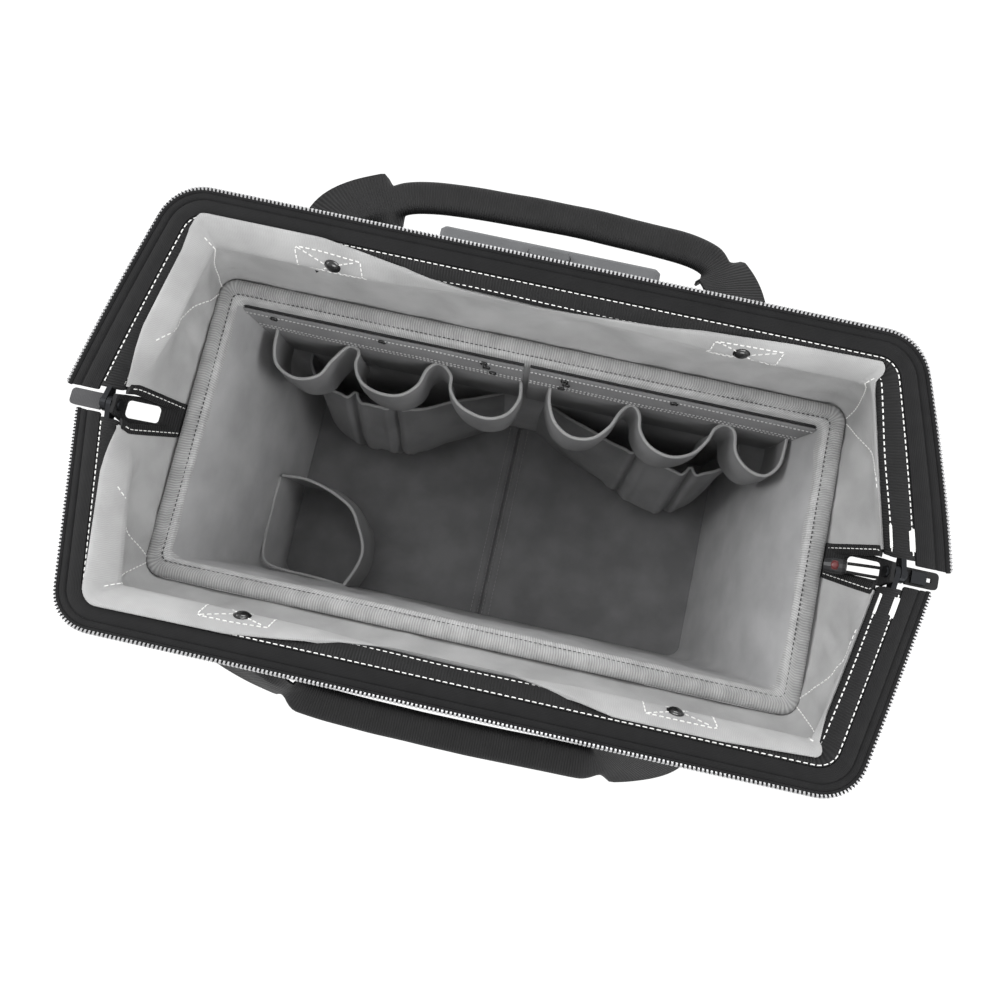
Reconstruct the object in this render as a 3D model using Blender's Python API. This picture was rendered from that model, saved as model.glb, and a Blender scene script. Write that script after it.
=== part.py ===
"""Rolling tool bag, standing open: a stiff tote with a hinged wire-frame zip mouth, on a wheeled chassis.

Metres. +Z is up, +X runs along the bag and -Y is its front. The origin is on the ground, under the
centre of the whole. Every piece is modelled in the frame of the empty that carries it: `bag_frame`
for what is fixed, and one empty on each joint's axis for what moves.
"""

import math

import bmesh
import bpy
from mathutils import Matrix, Vector

# Clearances
TOUCH_GAP = 0.0003
RUNNING_GAP = 0.0005
BEARING_GAP = 0.0001
OVERRUN = 0.004
WELD_IN = 0.001

# Tote: the stiff, padded lower half
RIM_LENGTH = 0.489
RIM_WIDTH = 0.234
RIM_HEIGHT = 0.280
BASE_TAPER = 0.042
WALL = 0.013
CORNER_RADIUS = 0.022
BINDING_PROUD = 0.0015
BINDING_HEIGHT = 0.018
BINDING_ROUND = 0.005
FLOOR_BOARD = 0.014

# Base tray and its feet
GROUND_CLEARANCE = 0.022
TRAY_FLOOR = 0.004
TRAY_WALL = 0.003
TRAY_HEIGHT = 0.040
TRAY_CHAMFER = 0.005
SKID_RAIL_LENGTH = 0.330
SKID_RAIL_WIDTH = 0.012
SKID_RAIL_DEPTH = 0.006
SKID_RAIL_SPREAD = 0.050
FOOT_LENGTH = 0.070
FOOT_WIDTH = 0.026
FOOT_TAPER = 0.004
FOOT_ROUND = 0.008
FOOT_FROM_END = 0.060
FOOT_FROM_FRONT = 0.026

# Wheels and rear chassis
WHEEL_RADIUS = 0.038
WHEEL_WIDTH = 0.024
HUB_RADIUS = 0.029
HUB_BOSS_RADIUS = 0.009
HUB_DISH = 0.005
HUB_RIM = 0.004
SPOKE_HOLE_RADIUS = 0.0055
SPOKE_HOLES = 6
TYRE_SHOULDER = 0.003
AXLE_RADIUS = 0.004
AXLE_BEHIND_TOTE = 0.045
AXLE_CAP_RADIUS = 0.008
AXLE_CAP_LENGTH = 0.005
WHEEL_SIDE_GAP = 0.004
GUARD_GAP = 0.0035
GUARD_WALL = 0.003
GUARD_REACH = 0.008
CHEEK_WALL = 0.005
BEAM_HALF_LENGTH = 0.176
BEAM_DEPTH = 0.062
BEAM_HEIGHT = 0.034
BEAM_ROUND = 0.006

# Pull handle: three telescoping stages in fixed outer tubes
TUBE_FROM_SIDE = 0.030
TUBE_WIDTH = 0.026
TUBE_DEPTH = 0.018
TUBE_WALL = 0.0012
TUBE_GAP = 0.0004
TUBE_ROUND_SHARE = 0.45
TUBE_BEHIND_TOTE = 0.048
STAGE_TRAVEL = 0.175
STAGE_STEP = 0.004
HOUSING_HALF_WIDTH = 0.092
HOUSING_WALL = 0.0025
HOUSING_ROUND = 0.008
RECESS_FROM_TUBE = 0.026
HOUSING_RECESS_DEPTH = 0.026
HOUSING_BELOW_RIM = 0.014
BEZEL_HEIGHT = 0.008
GRIP_PAST_TUBE = 0.018
GRIP_DEPTH = 0.015
GRIP_HEIGHT = 0.027
GRIP_ABOVE_RIM = 0.019
GRIP_ROUND = 0.005
GRIP_SOCKET = 0.012
GRIP_PALM_RISE = 0.006
BUTTON_LENGTH = 0.030
BUTTON_DEPTH = 0.007
BUTTON_HEIGHT = 0.012
BUTTON_PROUD = 0.003
BUTTON_TRAVEL = 0.0025

# Gate mouth: two hinged wire frames, each in a sewn sleeve with its half of the zip
HINGE_ABOVE_RIM = 0.050
HINGE_FORWARD = 0.006
MOUTH_OPEN_ANGLE = math.radians(18)
MOUTH_REACH = 0.152
MOUTH_OVERHANG = 0.0515
MOUTH_TAPER = 0.0523
MOUTH_CORNER_RADIUS = 0.034
LEAST_CORNER_RADIUS = 0.004
TEETH_WIDTH = 0.0035
TEETH_THICKNESS = 0.004
TAPE_WIDTH = 0.012
TAPE_THICKNESS = 0.002
SLEEVE_WIDTH = 0.015
SLEEVE_THICKNESS = 0.008
SLEEVE_EDGE_THICKNESS = 0.003
SLEEVE_CROWN_SHARE = 0.25
BAND_FACE_GAP = 0.0003
WIRE_RADIUS = 0.0025
WIRE_CHANNEL_RADIUS = 0.003
EYE_RADIUS = 0.006
EYE_THICKNESS = 0.0034
EYE_TAB_LENGTH = 0.013
SLEEVE_START = 0.0135
TAPE_START = 0.0075
WIRE_START = 0.010

# Hinge pins and the stitched end straps that carry them
PIN_RADIUS = 0.002
PIN_HEAD_RADIUS = 0.004
PIN_HEAD_LENGTH = 0.0015
STRAP_THICKNESS = 0.0025
STRAP_DROP = 0.050
STRAP_HALF_WIDTH = 0.0125
STRAP_TOP_HALF_WIDTH = 0.0065
STRAP_TOP_ABOVE_HINGE = 0.0055
STRAP_NECK_BELOW_HINGE = 0.009
SLIT_HALF_WIDTH = 0.0063
SLIT_ROUND = 0.003
SLIT_START = 0.014
SLIT_BELOW_NECK = 0.0005

# Mouth skirts: the loose lining between the rim and the mouth
SKIRT_THICKNESS = 0.0015
SKIRT_HEM = 0.010
SKIRT_OUT = 0.0006
SKIRT_BULGE = 0.0141
SKIRT_LEAN_SHARE = 0.40
SKIRT_RISE_POWER = 1.6
SKIRT_ROWS = 4
SKIRT_END_GAP = 0.002

# Carry handles and their rivets
HANDLE_FROM_HINGE = 0.1378
HANDLE_BELOW_HINGE = 0.004
HANDLE_HALF_SPAN = 0.139
HANDLE_BULGE = 0.009
HANDLE_SHOULDER_SHARE = 0.44
HANDLE_REACH = 0.070
GRIP_WEB_HALF_LENGTH = 0.098
STRAP_END_WIDTH = 0.044
STRAP_END_THICKNESS = 0.003
GRIP_WEB_WIDTH = 0.026
GRIP_WEB_THICKNESS = 0.008
GRIP_WEB_CHAMFER = 0.002
HANDLE_BEND_RADIUS = 0.026
BACK_HANDLE_DROOP = math.radians(15)
FRONT_HANDLE_DROOP = math.radians(57)
BACK_RIVET_TILT = math.radians(3)
FRONT_RIVET_TILT = math.radians(12)
HANDLE_LAP = 0.001
RIVET_INSIDE = 0.0045
RIVET_LENGTH = 0.0044
RIVET_RADIUS = 0.0022
RIVET_HEAD_RADIUS = 0.0048
RIVET_HEAD_HEIGHT = 0.0018
RIVET_HOLE_GAP = 0.0006

# Inside: tool loops and pouches on the back wall, a pocket in the front left corner
LOOP_HEADER = 0.040
LOOP_HEADER_THICKNESS = 0.004
LOOP_BELOW_RIM = 0.022
LOOP_HEIGHT = 0.048
LOOP_TOP_BELOW_RIM = 0.050
LOOP_DEPTH = 0.037
LOOP_WALL = 0.0025
LOOP_SPACE = 0.014
LOOP_END_REACH = 0.0055
LOOPS_PER_SIDE = 3
LOOP_FIRST = 0.006
POUCH_INNER = 0.018
POUCH_END_ROOM = 0.0125
POUCH_WALL = 0.003
POUCH_TOP_BELOW_RIM = 0.112
POUCH_TOP_DEPTH = 0.036
POUCH_BELLY_DEPTH = 0.062
POUCH_FOOT_DEPTH = 0.050
POUCH_BELLY_SHARE = 0.35
CORNER_POCKET_LENGTH = 0.083
CORNER_POCKET_WIDTH = 0.091
CORNER_POCKET_HEIGHT = 0.074
CORNER_POCKET_WALL = 0.003
CORNER_POCKET_ROUND = 0.032
FRONT_POCKET_LENGTH = 0.300
FRONT_POCKET_HEIGHT = 0.140
FRONT_POCKET_DEPTH = 0.016
FRONT_POCKET_WALL = 0.003
FRONT_POCKET_FOOT = 0.070
FRONT_POCKET_ROUND = 0.006

# Zip slider and its cord pull, parked on the right-hand tail
TAIL_HALF_WIDTH = 0.0058
TAIL_THICKNESS = 0.002
TAIL_REACH = 0.0025
TAIL_SLOT_HALF_WIDTH = 0.0014
TAIL_SLOT_START = 0.0022
SLIDER_LENGTH = 0.010
SLIDER_NECK_HALF_WIDTH = 0.0009
SLIDER_HALF_WIDTH = 0.0045
SLIDER_TOP = 0.003
SLIDER_BOTTOM = 0.003
SLIDER_LUG_DROP = 0.0042
SLIDER_LUG_LENGTH = 0.004
SLIDER_LUG_THICKNESS = 0.0024
SLIDER_TRAVEL = 0.004
CORD_RADIUS = 0.0011
CORD_HALF_GAP = 0.0030
CORD_DROP = 0.040
PULL_DIP = math.radians(28)
KNOB_LENGTH = 0.0145
KNOB_RADIUS = 0.0055
KNOB_NECK_RADIUS = 0.0042

ARC_STEPS = 4
ROUND_SIDES = 24
TREAD_SIDES = 40
SMALL_ROUND_SIDES = 12
FEW_SIDES = 8

# Sizes that follow from those above
RIM_HALF_LENGTH = RIM_LENGTH / 2
BASE_LENGTH = RIM_LENGTH - BASE_TAPER
RIM_HALF_WIDTH = RIM_WIDTH / 2
WALL_HALF_WIDTH = RIM_HALF_WIDTH - BINDING_PROUD
WALL_TOP = RIM_HEIGHT - BINDING_HEIGHT - TOUCH_GAP
WALL_FOOT = GROUND_CLEARANCE + TRAY_FLOOR + TOUCH_GAP
FLOOR_TOP = WALL_FOOT + FLOOR_BOARD
INNER_HALF_WIDTH = WALL_HALF_WIDTH - WALL
INNER_HALF_LENGTH = BASE_LENGTH / 2 - WALL
LOOP_PITCH = (INNER_HALF_LENGTH + LOOP_END_REACH - LOOP_FIRST) / LOOPS_PER_SIDE
LOOP_WIDTH = LOOP_PITCH - LOOP_SPACE
POUCH_WIDTH = INNER_HALF_LENGTH - POUCH_END_ROOM - POUCH_INNER
HINGE_HEIGHT = RIM_HEIGHT + HINGE_ABOVE_RIM
MOUTH_HALF_LENGTH = RIM_HALF_LENGTH + MOUTH_OVERHANG
MOUTH_CORNER_HALF_LENGTH = MOUTH_HALF_LENGTH - MOUTH_TAPER
ARM_SLOPE = (MOUTH_HALF_LENGTH - MOUTH_CORNER_HALF_LENGTH) / MOUTH_REACH
ARM_SECANT = math.hypot(1, ARM_SLOPE)
SLEEVE_OUTER = TEETH_WIDTH + TAPE_WIDTH + 2 * TOUCH_GAP
SLEEVE_INNER = SLEEVE_OUTER + SLEEVE_WIDTH
WIRE_INSET = SLEEVE_OUTER + SLEEVE_WIDTH / 2
WIRE_DEPTH = BAND_FACE_GAP + SLEEVE_THICKNESS / 2
EYE_X = MOUTH_HALF_LENGTH - WIRE_INSET * ARM_SECANT
AXLE_Y = WALL_HALF_WIDTH + AXLE_BEHIND_TOTE
TUBE_Y = WALL_HALF_WIDTH + TUBE_BEHIND_TOTE
TUBE_SPREAD = HOUSING_HALF_WIDTH - TUBE_FROM_SIDE
GRIP_HALF_LENGTH = TUBE_SPREAD + GRIP_PAST_TUBE
HOUSING_RECESS_HALF_WIDTH = TUBE_SPREAD - RECESS_FROM_TUBE
REAR_FACE = WALL_HALF_WIDTH + TRAY_WALL + 2 * TOUCH_GAP
HOUSING_TOP = RIM_HEIGHT - HOUSING_BELOW_RIM
BEAM_TOP = GROUND_CLEARANCE + BEAM_HEIGHT
WHEEL_INNER_FACE = BEAM_HALF_LENGTH + CHEEK_WALL + WHEEL_SIDE_GAP
WHEEL_OUTER_FACE = WHEEL_INNER_FACE + WHEEL_WIDTH
GRIP_BOTTOM = RIM_HEIGHT + GRIP_ABOVE_RIM
GRIP_TOP = GRIP_BOTTOM + GRIP_HEIGHT


# Shape helpers


def rounded_loop(half_x, half_y, radius, height, centre=(0, 0)):
    """A rounded rectangle at one height, anticlockwise seen from above."""
    corners = (1, 1, 0), (-1, 1, 90), (-1, -1, 180), (1, -1, 270)
    points = []
    for side_x, side_y, start in corners:
        for step in range(ARC_STEPS + 1):
            angle = math.radians(start + 90 * step / ARC_STEPS)
            x = centre[0] + side_x * (half_x - radius) + radius * math.cos(angle)
            y = centre[1] + side_y * (half_y - radius) + radius * math.sin(angle)
            points.append(Vector((x, y, height)))
    return points


def fillet(points, radii, closed=False, steps=ARC_STEPS):
    """The path through the points, with an arc of the given radius at each turn."""
    points = [Vector(point).to_3d() for point in points]
    count = len(points)
    if isinstance(radii, (int, float)):
        radii = [radii] * count
    path = []
    for index, (corner, radius) in enumerate(zip(points, radii)):
        at_end = not closed and index in (0, count - 1)
        if at_end or radius <= 0:
            path.append(corner)
            continue
        before = (points[index - 1] - corner).normalized()
        after = (points[(index + 1) % count] - corner).normalized()
        half = before.angle(after) / 2
        centre = corner + (before + after).normalized() * radius / math.sin(half)
        first = corner + before * radius / math.tan(half) - centre
        last = corner + after * radius / math.tan(half) - centre
        sweep = math.pi - 2 * half
        for step in range(steps + 1):
            share = step / steps
            weights = math.sin((1 - share) * sweep), math.sin(share * sweep)
            path.append(centre + (first * weights[0] + last * weights[1]) / math.sin(sweep))
    return path


def circle(centre, radius, across, up, sides):
    """Points round a circle in the plane of two unit vectors."""
    turns = [2 * math.pi * (side + 0.5) / sides for side in range(sides)]
    return [centre + radius * (across * math.cos(t) + up * math.sin(t)) for t in turns]


def skin(loops, ring=False):
    """A closed mesh through matching loops, capped at both ends unless it closes on itself."""
    mesh = bmesh.new()
    rows = [[mesh.verts.new(point) for point in loop] for loop in loops]
    pairs = list(zip(rows, rows[1:]))
    if ring:
        pairs.append((rows[-1], rows[0]))
    else:
        mesh.faces.new(rows[0])
        mesh.faces.new(rows[-1])
    for near, far in pairs:
        for index in range(len(near)):
            after = (index + 1) % len(near)
            mesh.faces.new((near[index], near[after], far[after], far[index]))
    bmesh.ops.recalc_face_normals(mesh, faces=mesh.faces)
    return mesh


def pipe(outer, inner):
    """A hollow run through matching outer and inner loops, open at both ends."""
    return skin(list(outer) + list(reversed(inner)), ring=True)


def prism(outline, low, high, axis):
    """An outline drawn in two coordinates and extruded along the third, named by its letter."""
    order = {"x": lambda a, b, t: (t, a, b), "y": lambda a, b, t: (a, t, b), "z": lambda a, b, t: (a, b, t)}
    return skin([[Vector(order[axis](p[0], p[1], t)) for p in outline] for t in (low, high)])


def box(low, high):
    outline = (low[0], low[1]), (high[0], low[1]), (high[0], high[1]), (low[0], high[1])
    return prism(outline, low[2], high[2], "z")


def turned(profile, sides=ROUND_SIDES):
    """A body turned about X. The profile runs in (x, radius) and closes on itself."""
    loops = []
    for x, radius in profile:
        turns = [2 * math.pi * side / sides for side in range(sides)]
        loops.append([Vector((x, radius * math.cos(t), radius * math.sin(t))) for t in turns])
    return loops


def finish(name, colour, roughness, metallic=0.0):
    """A Principled material from an sRGB hex colour."""
    channels = [int(colour[i:i + 2], 16) / 255 for i in (1, 3, 5)]
    linear = [c / 12.92 if c <= 0.04045 else ((c + 0.055) / 1.055) ** 2.4 for c in channels]
    material = bpy.data.materials.new(name)
    material.use_nodes = True
    shader = material.node_tree.nodes["Principled BSDF"]
    shader.inputs["Base Color"].default_value = (*linear, 1)
    shader.inputs["Roughness"].default_value = roughness
    shader.inputs["Metallic"].default_value = metallic
    material.diffuse_color = (*linear, 1)
    return material


def empty(name, parent=None, location=(0, 0, 0), rotation=(0, 0, 0)):
    """A frame for pieces to hang on."""
    frame = bpy.data.objects.new(name, None)
    bpy.context.collection.objects.link(frame)
    frame.parent = parent
    frame.location = location
    frame.rotation_euler = rotation
    return frame


def piece(name, mesh, material, parent, smooth=True):
    """A named solid in its parent's frame."""
    data = bpy.data.meshes.new(name)
    mesh.to_mesh(data)
    mesh.free()
    data.materials.append(material)
    if smooth:
        data.shade_smooth()
        data.set_sharp_from_angle(angle=math.radians(35))
    solid = bpy.data.objects.new(name, data)
    bpy.context.collection.objects.link(solid)
    solid.parent = parent
    return solid


def boolean(solid, mesh, operation):
    """Joins a mesh to the solid, or cuts it away, in the solid's own frame."""
    tool = piece(f"{solid.name}_{operation.lower()}_{len(solid.modifiers)}", mesh, solid.data.materials[0], solid.parent)
    tool.hide_render = True
    tool.display_type = "WIRE"
    modifier = solid.modifiers.new(tool.name, "BOOLEAN")
    modifier.operation = operation
    modifier.solver = "EXACT"
    modifier.object = tool


# Tote


def wall_half_length(height):
    """Half the outer length of the walls: the ends lean out towards the rim."""
    share = (height - WALL_FOOT) / (RIM_HEIGHT - WALL_FOOT)
    top = RIM_HALF_LENGTH - BINDING_PROUD
    return BASE_LENGTH / 2 + (top - BASE_LENGTH / 2) * share


def add_long_wall(name, side, frame, material):
    """The front or back wall: a padded slab between the end walls."""
    loops = []
    for height in (WALL_FOOT, WALL_TOP):
        half = wall_half_length(height) - CORNER_RADIUS - TOUCH_GAP
        outer, inner = side * WALL_HALF_WIDTH, side * INNER_HALF_WIDTH
        loops.append([Vector((x, y, height)) for x, y in ((-half, outer), (half, outer), (half, inner), (-half, inner))])
    piece(name, skin(loops), material, frame)


def add_end_wall(name, side, frame, material):
    """An end wall, which turns the corners and meets the front and back walls."""
    loops = []
    for height in (WALL_FOOT, WALL_TOP):
        far = wall_half_length(height)
        near = far - CORNER_RADIUS
        outer = fillet(
            [(near, -WALL_HALF_WIDTH), (far, -WALL_HALF_WIDTH), (far, WALL_HALF_WIDTH), (near, WALL_HALF_WIDTH)],
            CORNER_RADIUS - TOUCH_GAP,
        )
        inner = fillet(
            [(near, INNER_HALF_WIDTH), (far - WALL, INNER_HALF_WIDTH), (far - WALL, -INNER_HALF_WIDTH), (near, -INNER_HALF_WIDTH)],
            CORNER_RADIUS - WALL,
        )
        loops.append([Vector((side * point.x, point.y, height)) for point in outer + inner])
    piece(name, skin(loops), material, frame)


def add_rim_binding(frame, material):
    """The ribbed tape folded over the top of the walls."""
    width = WALL + 2 * BINDING_PROUD
    low, high = RIM_HEIGHT - BINDING_HEIGHT, RIM_HEIGHT
    shoulder = high - BINDING_ROUND
    profile = [
        (0, low), (0, shoulder), (BINDING_ROUND / 3, high - BINDING_ROUND / 3), (width / 2, high),
        (width - BINDING_ROUND / 3, high - BINDING_ROUND / 3), (width, shoulder), (width, low),
    ]
    loops = [
        rounded_loop(RIM_HALF_LENGTH - inset, RIM_HALF_WIDTH - inset, CORNER_RADIUS + BINDING_PROUD - inset, height)
        for inset, height in profile
    ]
    piece("rim_binding", skin(loops, ring=True), material, frame)


def add_floor_board(frame, material):
    half_x = wall_half_length(WALL_FOOT) - WALL - TOUCH_GAP
    half_y = INNER_HALF_WIDTH - TOUCH_GAP
    loops = [rounded_loop(half_x, half_y, CORNER_RADIUS - WALL, height) for height in (WALL_FOOT, FLOOR_TOP)]
    piece("floor_board", skin(loops), material, frame)


def add_base_tray(frame, material):
    """A moulded tray round the foot of the walls, with skid rails under it."""
    bottom = GROUND_CLEARANCE
    top = bottom + TRAY_HEIGHT

    def outer(height, inset=0):
        grow = TRAY_WALL + TOUCH_GAP - inset
        half_x = wall_half_length(max(height, WALL_FOOT)) + grow
        return rounded_loop(half_x, WALL_HALF_WIDTH + grow, CORNER_RADIUS + grow, height)

    loops = [
        outer(bottom, TRAY_CHAMFER), outer(bottom + TRAY_CHAMFER), outer(top),
        outer(top, TRAY_WALL), outer(bottom + TRAY_FLOOR, TRAY_WALL),
    ]
    tray = piece("base_tray", skin(loops), material, frame)
    for side in (-1, 1):
        low = (-SKID_RAIL_LENGTH / 2, side * SKID_RAIL_SPREAD - SKID_RAIL_WIDTH / 2, bottom - SKID_RAIL_DEPTH)
        high = (SKID_RAIL_LENGTH / 2, side * SKID_RAIL_SPREAD + SKID_RAIL_WIDTH / 2, bottom + WELD_IN)
        boolean(tray, box(low, high), "UNION")


def add_feet(frame, material):
    for side, name in ((-1, "front_foot_left"), (1, "front_foot_right")):
        centre = side * (BASE_LENGTH / 2 - FOOT_FROM_END), -WALL_HALF_WIDTH + FOOT_FROM_FRONT
        loops = [
            rounded_loop(FOOT_LENGTH / 2 - inset, FOOT_WIDTH / 2 - inset, FOOT_ROUND - inset, height, centre)
            for inset, height in ((FOOT_TAPER, 0), (0, FOOT_TAPER), (0, GROUND_CLEARANCE - TOUCH_GAP))
        ]
        piece(name, skin(loops), material, frame)


# Inside pockets


def half_round(centre, half_width, depth, back, squareness=0.75):
    """A D-shaped curve that bellies out towards -Y from the back line, from +X to -X."""
    points = []
    steps = 2 * ARC_STEPS
    for step in range(steps + 1):
        angle = math.pi * step / steps
        x = centre + half_width * math.copysign(abs(math.cos(angle)) ** squareness, math.cos(angle))
        points.append((x, back - depth * math.sin(angle) ** squareness))
    return points


def add_tool_loops(name, side, frame, material):
    """A header strip on the back wall, with a row of sewn tool loops that stand out from it."""
    back = INNER_HALF_WIDTH - TOUCH_GAP
    face = back - LOOP_HEADER_THICKNESS
    near = LOOP_FIRST - LOOP_HEADER_THICKNESS
    far = LOOP_FIRST + LOOPS_PER_SIDE * LOOP_PITCH - LOOP_HEADER_THICKNESS
    top = RIM_HEIGHT - LOOP_BELOW_RIM
    foot = RIM_HEIGHT - LOOP_TOP_BELOW_RIM - LOOP_HEIGHT
    header = piece(name, box((min(side * near, side * far), face, foot), (max(side * near, side * far), back, top)), material, frame)
    for index in range(LOOPS_PER_SIDE):
        centre = side * (LOOP_FIRST + LOOP_PITCH * (index + 0.5))
        outer = half_round(centre, LOOP_WIDTH / 2, LOOP_DEPTH, face + WELD_IN)
        inner = half_round(centre, LOOP_WIDTH / 2 - LOOP_WALL, LOOP_DEPTH - LOOP_WALL, face + WELD_IN)
        outline = outer + inner[::-1]
        boolean(header, prism(outline, foot, foot + LOOP_HEIGHT, "z"), "UNION")


def cup(sections, wall, floor):
    """A pocket, open at the top, from (height, outline maker) sections that run upwards."""
    outer = [make(height, 0) for height, make in sections]
    inner = [make(height, wall) for height, make in sections]
    first_height = sections[0][0] + floor
    inner[0] = [Vector((point.x, point.y, first_height)) for point in inner[0]]
    return skin(outer + inner[::-1])


def add_pouch(name, side, frame, material):
    """A pleated pouch under the tool loops, fullest near the floor."""
    back = INNER_HALF_WIDTH - TOUCH_GAP
    low = FLOOR_TOP + TOUCH_GAP
    high = RIM_HEIGHT - POUCH_TOP_BELOW_RIM
    belly = low + (high - low) * POUCH_BELLY_SHARE
    centre = side * (POUCH_INNER + POUCH_WIDTH / 2)

    def outline(depth):
        def make(height, inset):
            curve = half_round(centre, POUCH_WIDTH / 2 - inset, depth - 2 * inset, back - inset)
            return [Vector((x, y, height)) for x, y in curve]
        return make

    sections = [(low, outline(POUCH_FOOT_DEPTH)), (belly, outline(POUCH_BELLY_DEPTH)), (high, outline(POUCH_TOP_DEPTH))]
    piece(name, cup(sections, POUCH_WALL, POUCH_WALL), material, frame)


def add_corner_pocket(frame, material):
    """A deep pocket in the front left corner."""
    far = -(wall_half_length(WALL_FOOT) - WALL - TOUCH_GAP)
    front = -(INNER_HALF_WIDTH - TOUCH_GAP)
    low = FLOOR_TOP + TOUCH_GAP

    def make(height, inset):
        left, right = far + inset, far + CORNER_POCKET_LENGTH - inset
        near, back = front + inset, front + CORNER_POCKET_WIDTH - inset
        corners = [(left, near), (right, near), (right, back), (left, back)]
        small = CORNER_RADIUS - WALL
        radii = [small, CORNER_POCKET_ROUND / 2 - inset, CORNER_POCKET_ROUND - inset, CORNER_POCKET_WALL + TOUCH_GAP - inset]
        return [Vector((p.x, p.y, height)) for p in fillet(corners, radii, closed=True)]

    sections = [(low, make), (low + CORNER_POCKET_HEIGHT, make)]
    piece("corner_pocket", cup(sections, CORNER_POCKET_WALL, CORNER_POCKET_WALL), material, frame)


def add_front_pocket(frame, material):
    """A flat pocket sewn to the outside of the front wall."""
    back = -(WALL_HALF_WIDTH + TOUCH_GAP)

    def make(height, inset):
        half_depth = FRONT_POCKET_DEPTH / 2 - inset
        return rounded_loop(
            FRONT_POCKET_LENGTH / 2 - inset, half_depth, FRONT_POCKET_ROUND - inset, height, (0, back - FRONT_POCKET_DEPTH / 2)
        )

    sections = [(FRONT_POCKET_FOOT, make), (FRONT_POCKET_FOOT + FRONT_POCKET_HEIGHT, make)]
    piece("front_pocket", cup(sections, FRONT_POCKET_WALL, FRONT_POCKET_WALL), material, frame)


# Wheels and rear chassis


def add_rear_chassis(frame, material):
    """A moulded beam behind the tray: it carries the axle, and its ends guard the wheels."""
    low, high = REAR_FACE, REAR_FACE + BEAM_DEPTH
    middle = (low + high) / 2
    loops = [
        rounded_loop(BEAM_HALF_LENGTH + WELD_IN, BEAM_DEPTH / 2, BEAM_ROUND, height, (0, middle))
        for height in (GROUND_CLEARANCE, BEAM_TOP)
    ]
    chassis = piece("rear_chassis", skin(loops), material, frame)
    centre = Vector((0, AXLE_Y, WHEEL_RADIUS))
    inner = WHEEL_RADIUS + GUARD_GAP
    outer = inner + GUARD_WALL
    for side in (-1, 1):
        near = side * BEAM_HALF_LENGTH
        cheek_end = side * (BEAM_HALF_LENGTH + CHEEK_WALL)
        arch_end = side * (WHEEL_OUTER_FACE - GUARD_REACH)
        arc = [math.radians(angle) for angle in range(20, 151, 10)]
        sector = [(AXLE_Y + outer * math.cos(a), WHEEL_RADIUS + outer * math.sin(a)) for a in arc]
        foot = [(AXLE_Y + outer * math.cos(arc[-1]), GROUND_CLEARANCE), (AXLE_Y + outer * math.cos(arc[0]), GROUND_CLEARANCE)]
        boolean(chassis, prism(sector + foot, *sorted((near, cheek_end)), "x"), "UNION")
        under = [(AXLE_Y + inner * math.cos(a), WHEEL_RADIUS + inner * math.sin(a)) for a in reversed(arc)]
        start = cheek_end - side * WELD_IN
        boolean(chassis, prism(sector + under, *sorted((start, arch_end)), "x"), "UNION")
    bore = [
        circle(Vector((x, centre.y, centre.z)), AXLE_RADIUS + BEARING_GAP, Vector((0, 1, 0)), Vector((0, 0, 1)), ROUND_SIDES)
        for x in (-BEAM_HALF_LENGTH - CHEEK_WALL - OVERRUN, BEAM_HALF_LENGTH + CHEEK_WALL + OVERRUN)
    ]
    boolean(chassis, skin(bore), "DIFFERENCE")


def add_axle(frame, steel, cap_material):
    half = WHEEL_OUTER_FACE + AXLE_CAP_LENGTH - HUB_DISH
    across, up = Vector((0, 1, 0)), Vector((0, 0, 1))
    ends = [Vector((x, AXLE_Y, WHEEL_RADIUS)) for x in (-half, half)]
    piece("axle", skin([circle(end, AXLE_RADIUS, across, up, ROUND_SIDES) for end in ends]), steel, frame)
    for side, name in ((-1, "axle_cap_left"), (1, "axle_cap_right")):
        stations = ((half + TOUCH_GAP, AXLE_CAP_RADIUS), (half + AXLE_CAP_LENGTH / 2, AXLE_CAP_RADIUS), (half + AXLE_CAP_LENGTH, AXLE_CAP_RADIUS * 0.7))
        loops = [circle(Vector((side * x, AXLE_Y, WHEEL_RADIUS)), radius, across, up, ROUND_SIDES) for x, radius in stations]
        piece(name, skin(loops), cap_material, frame)


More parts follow.
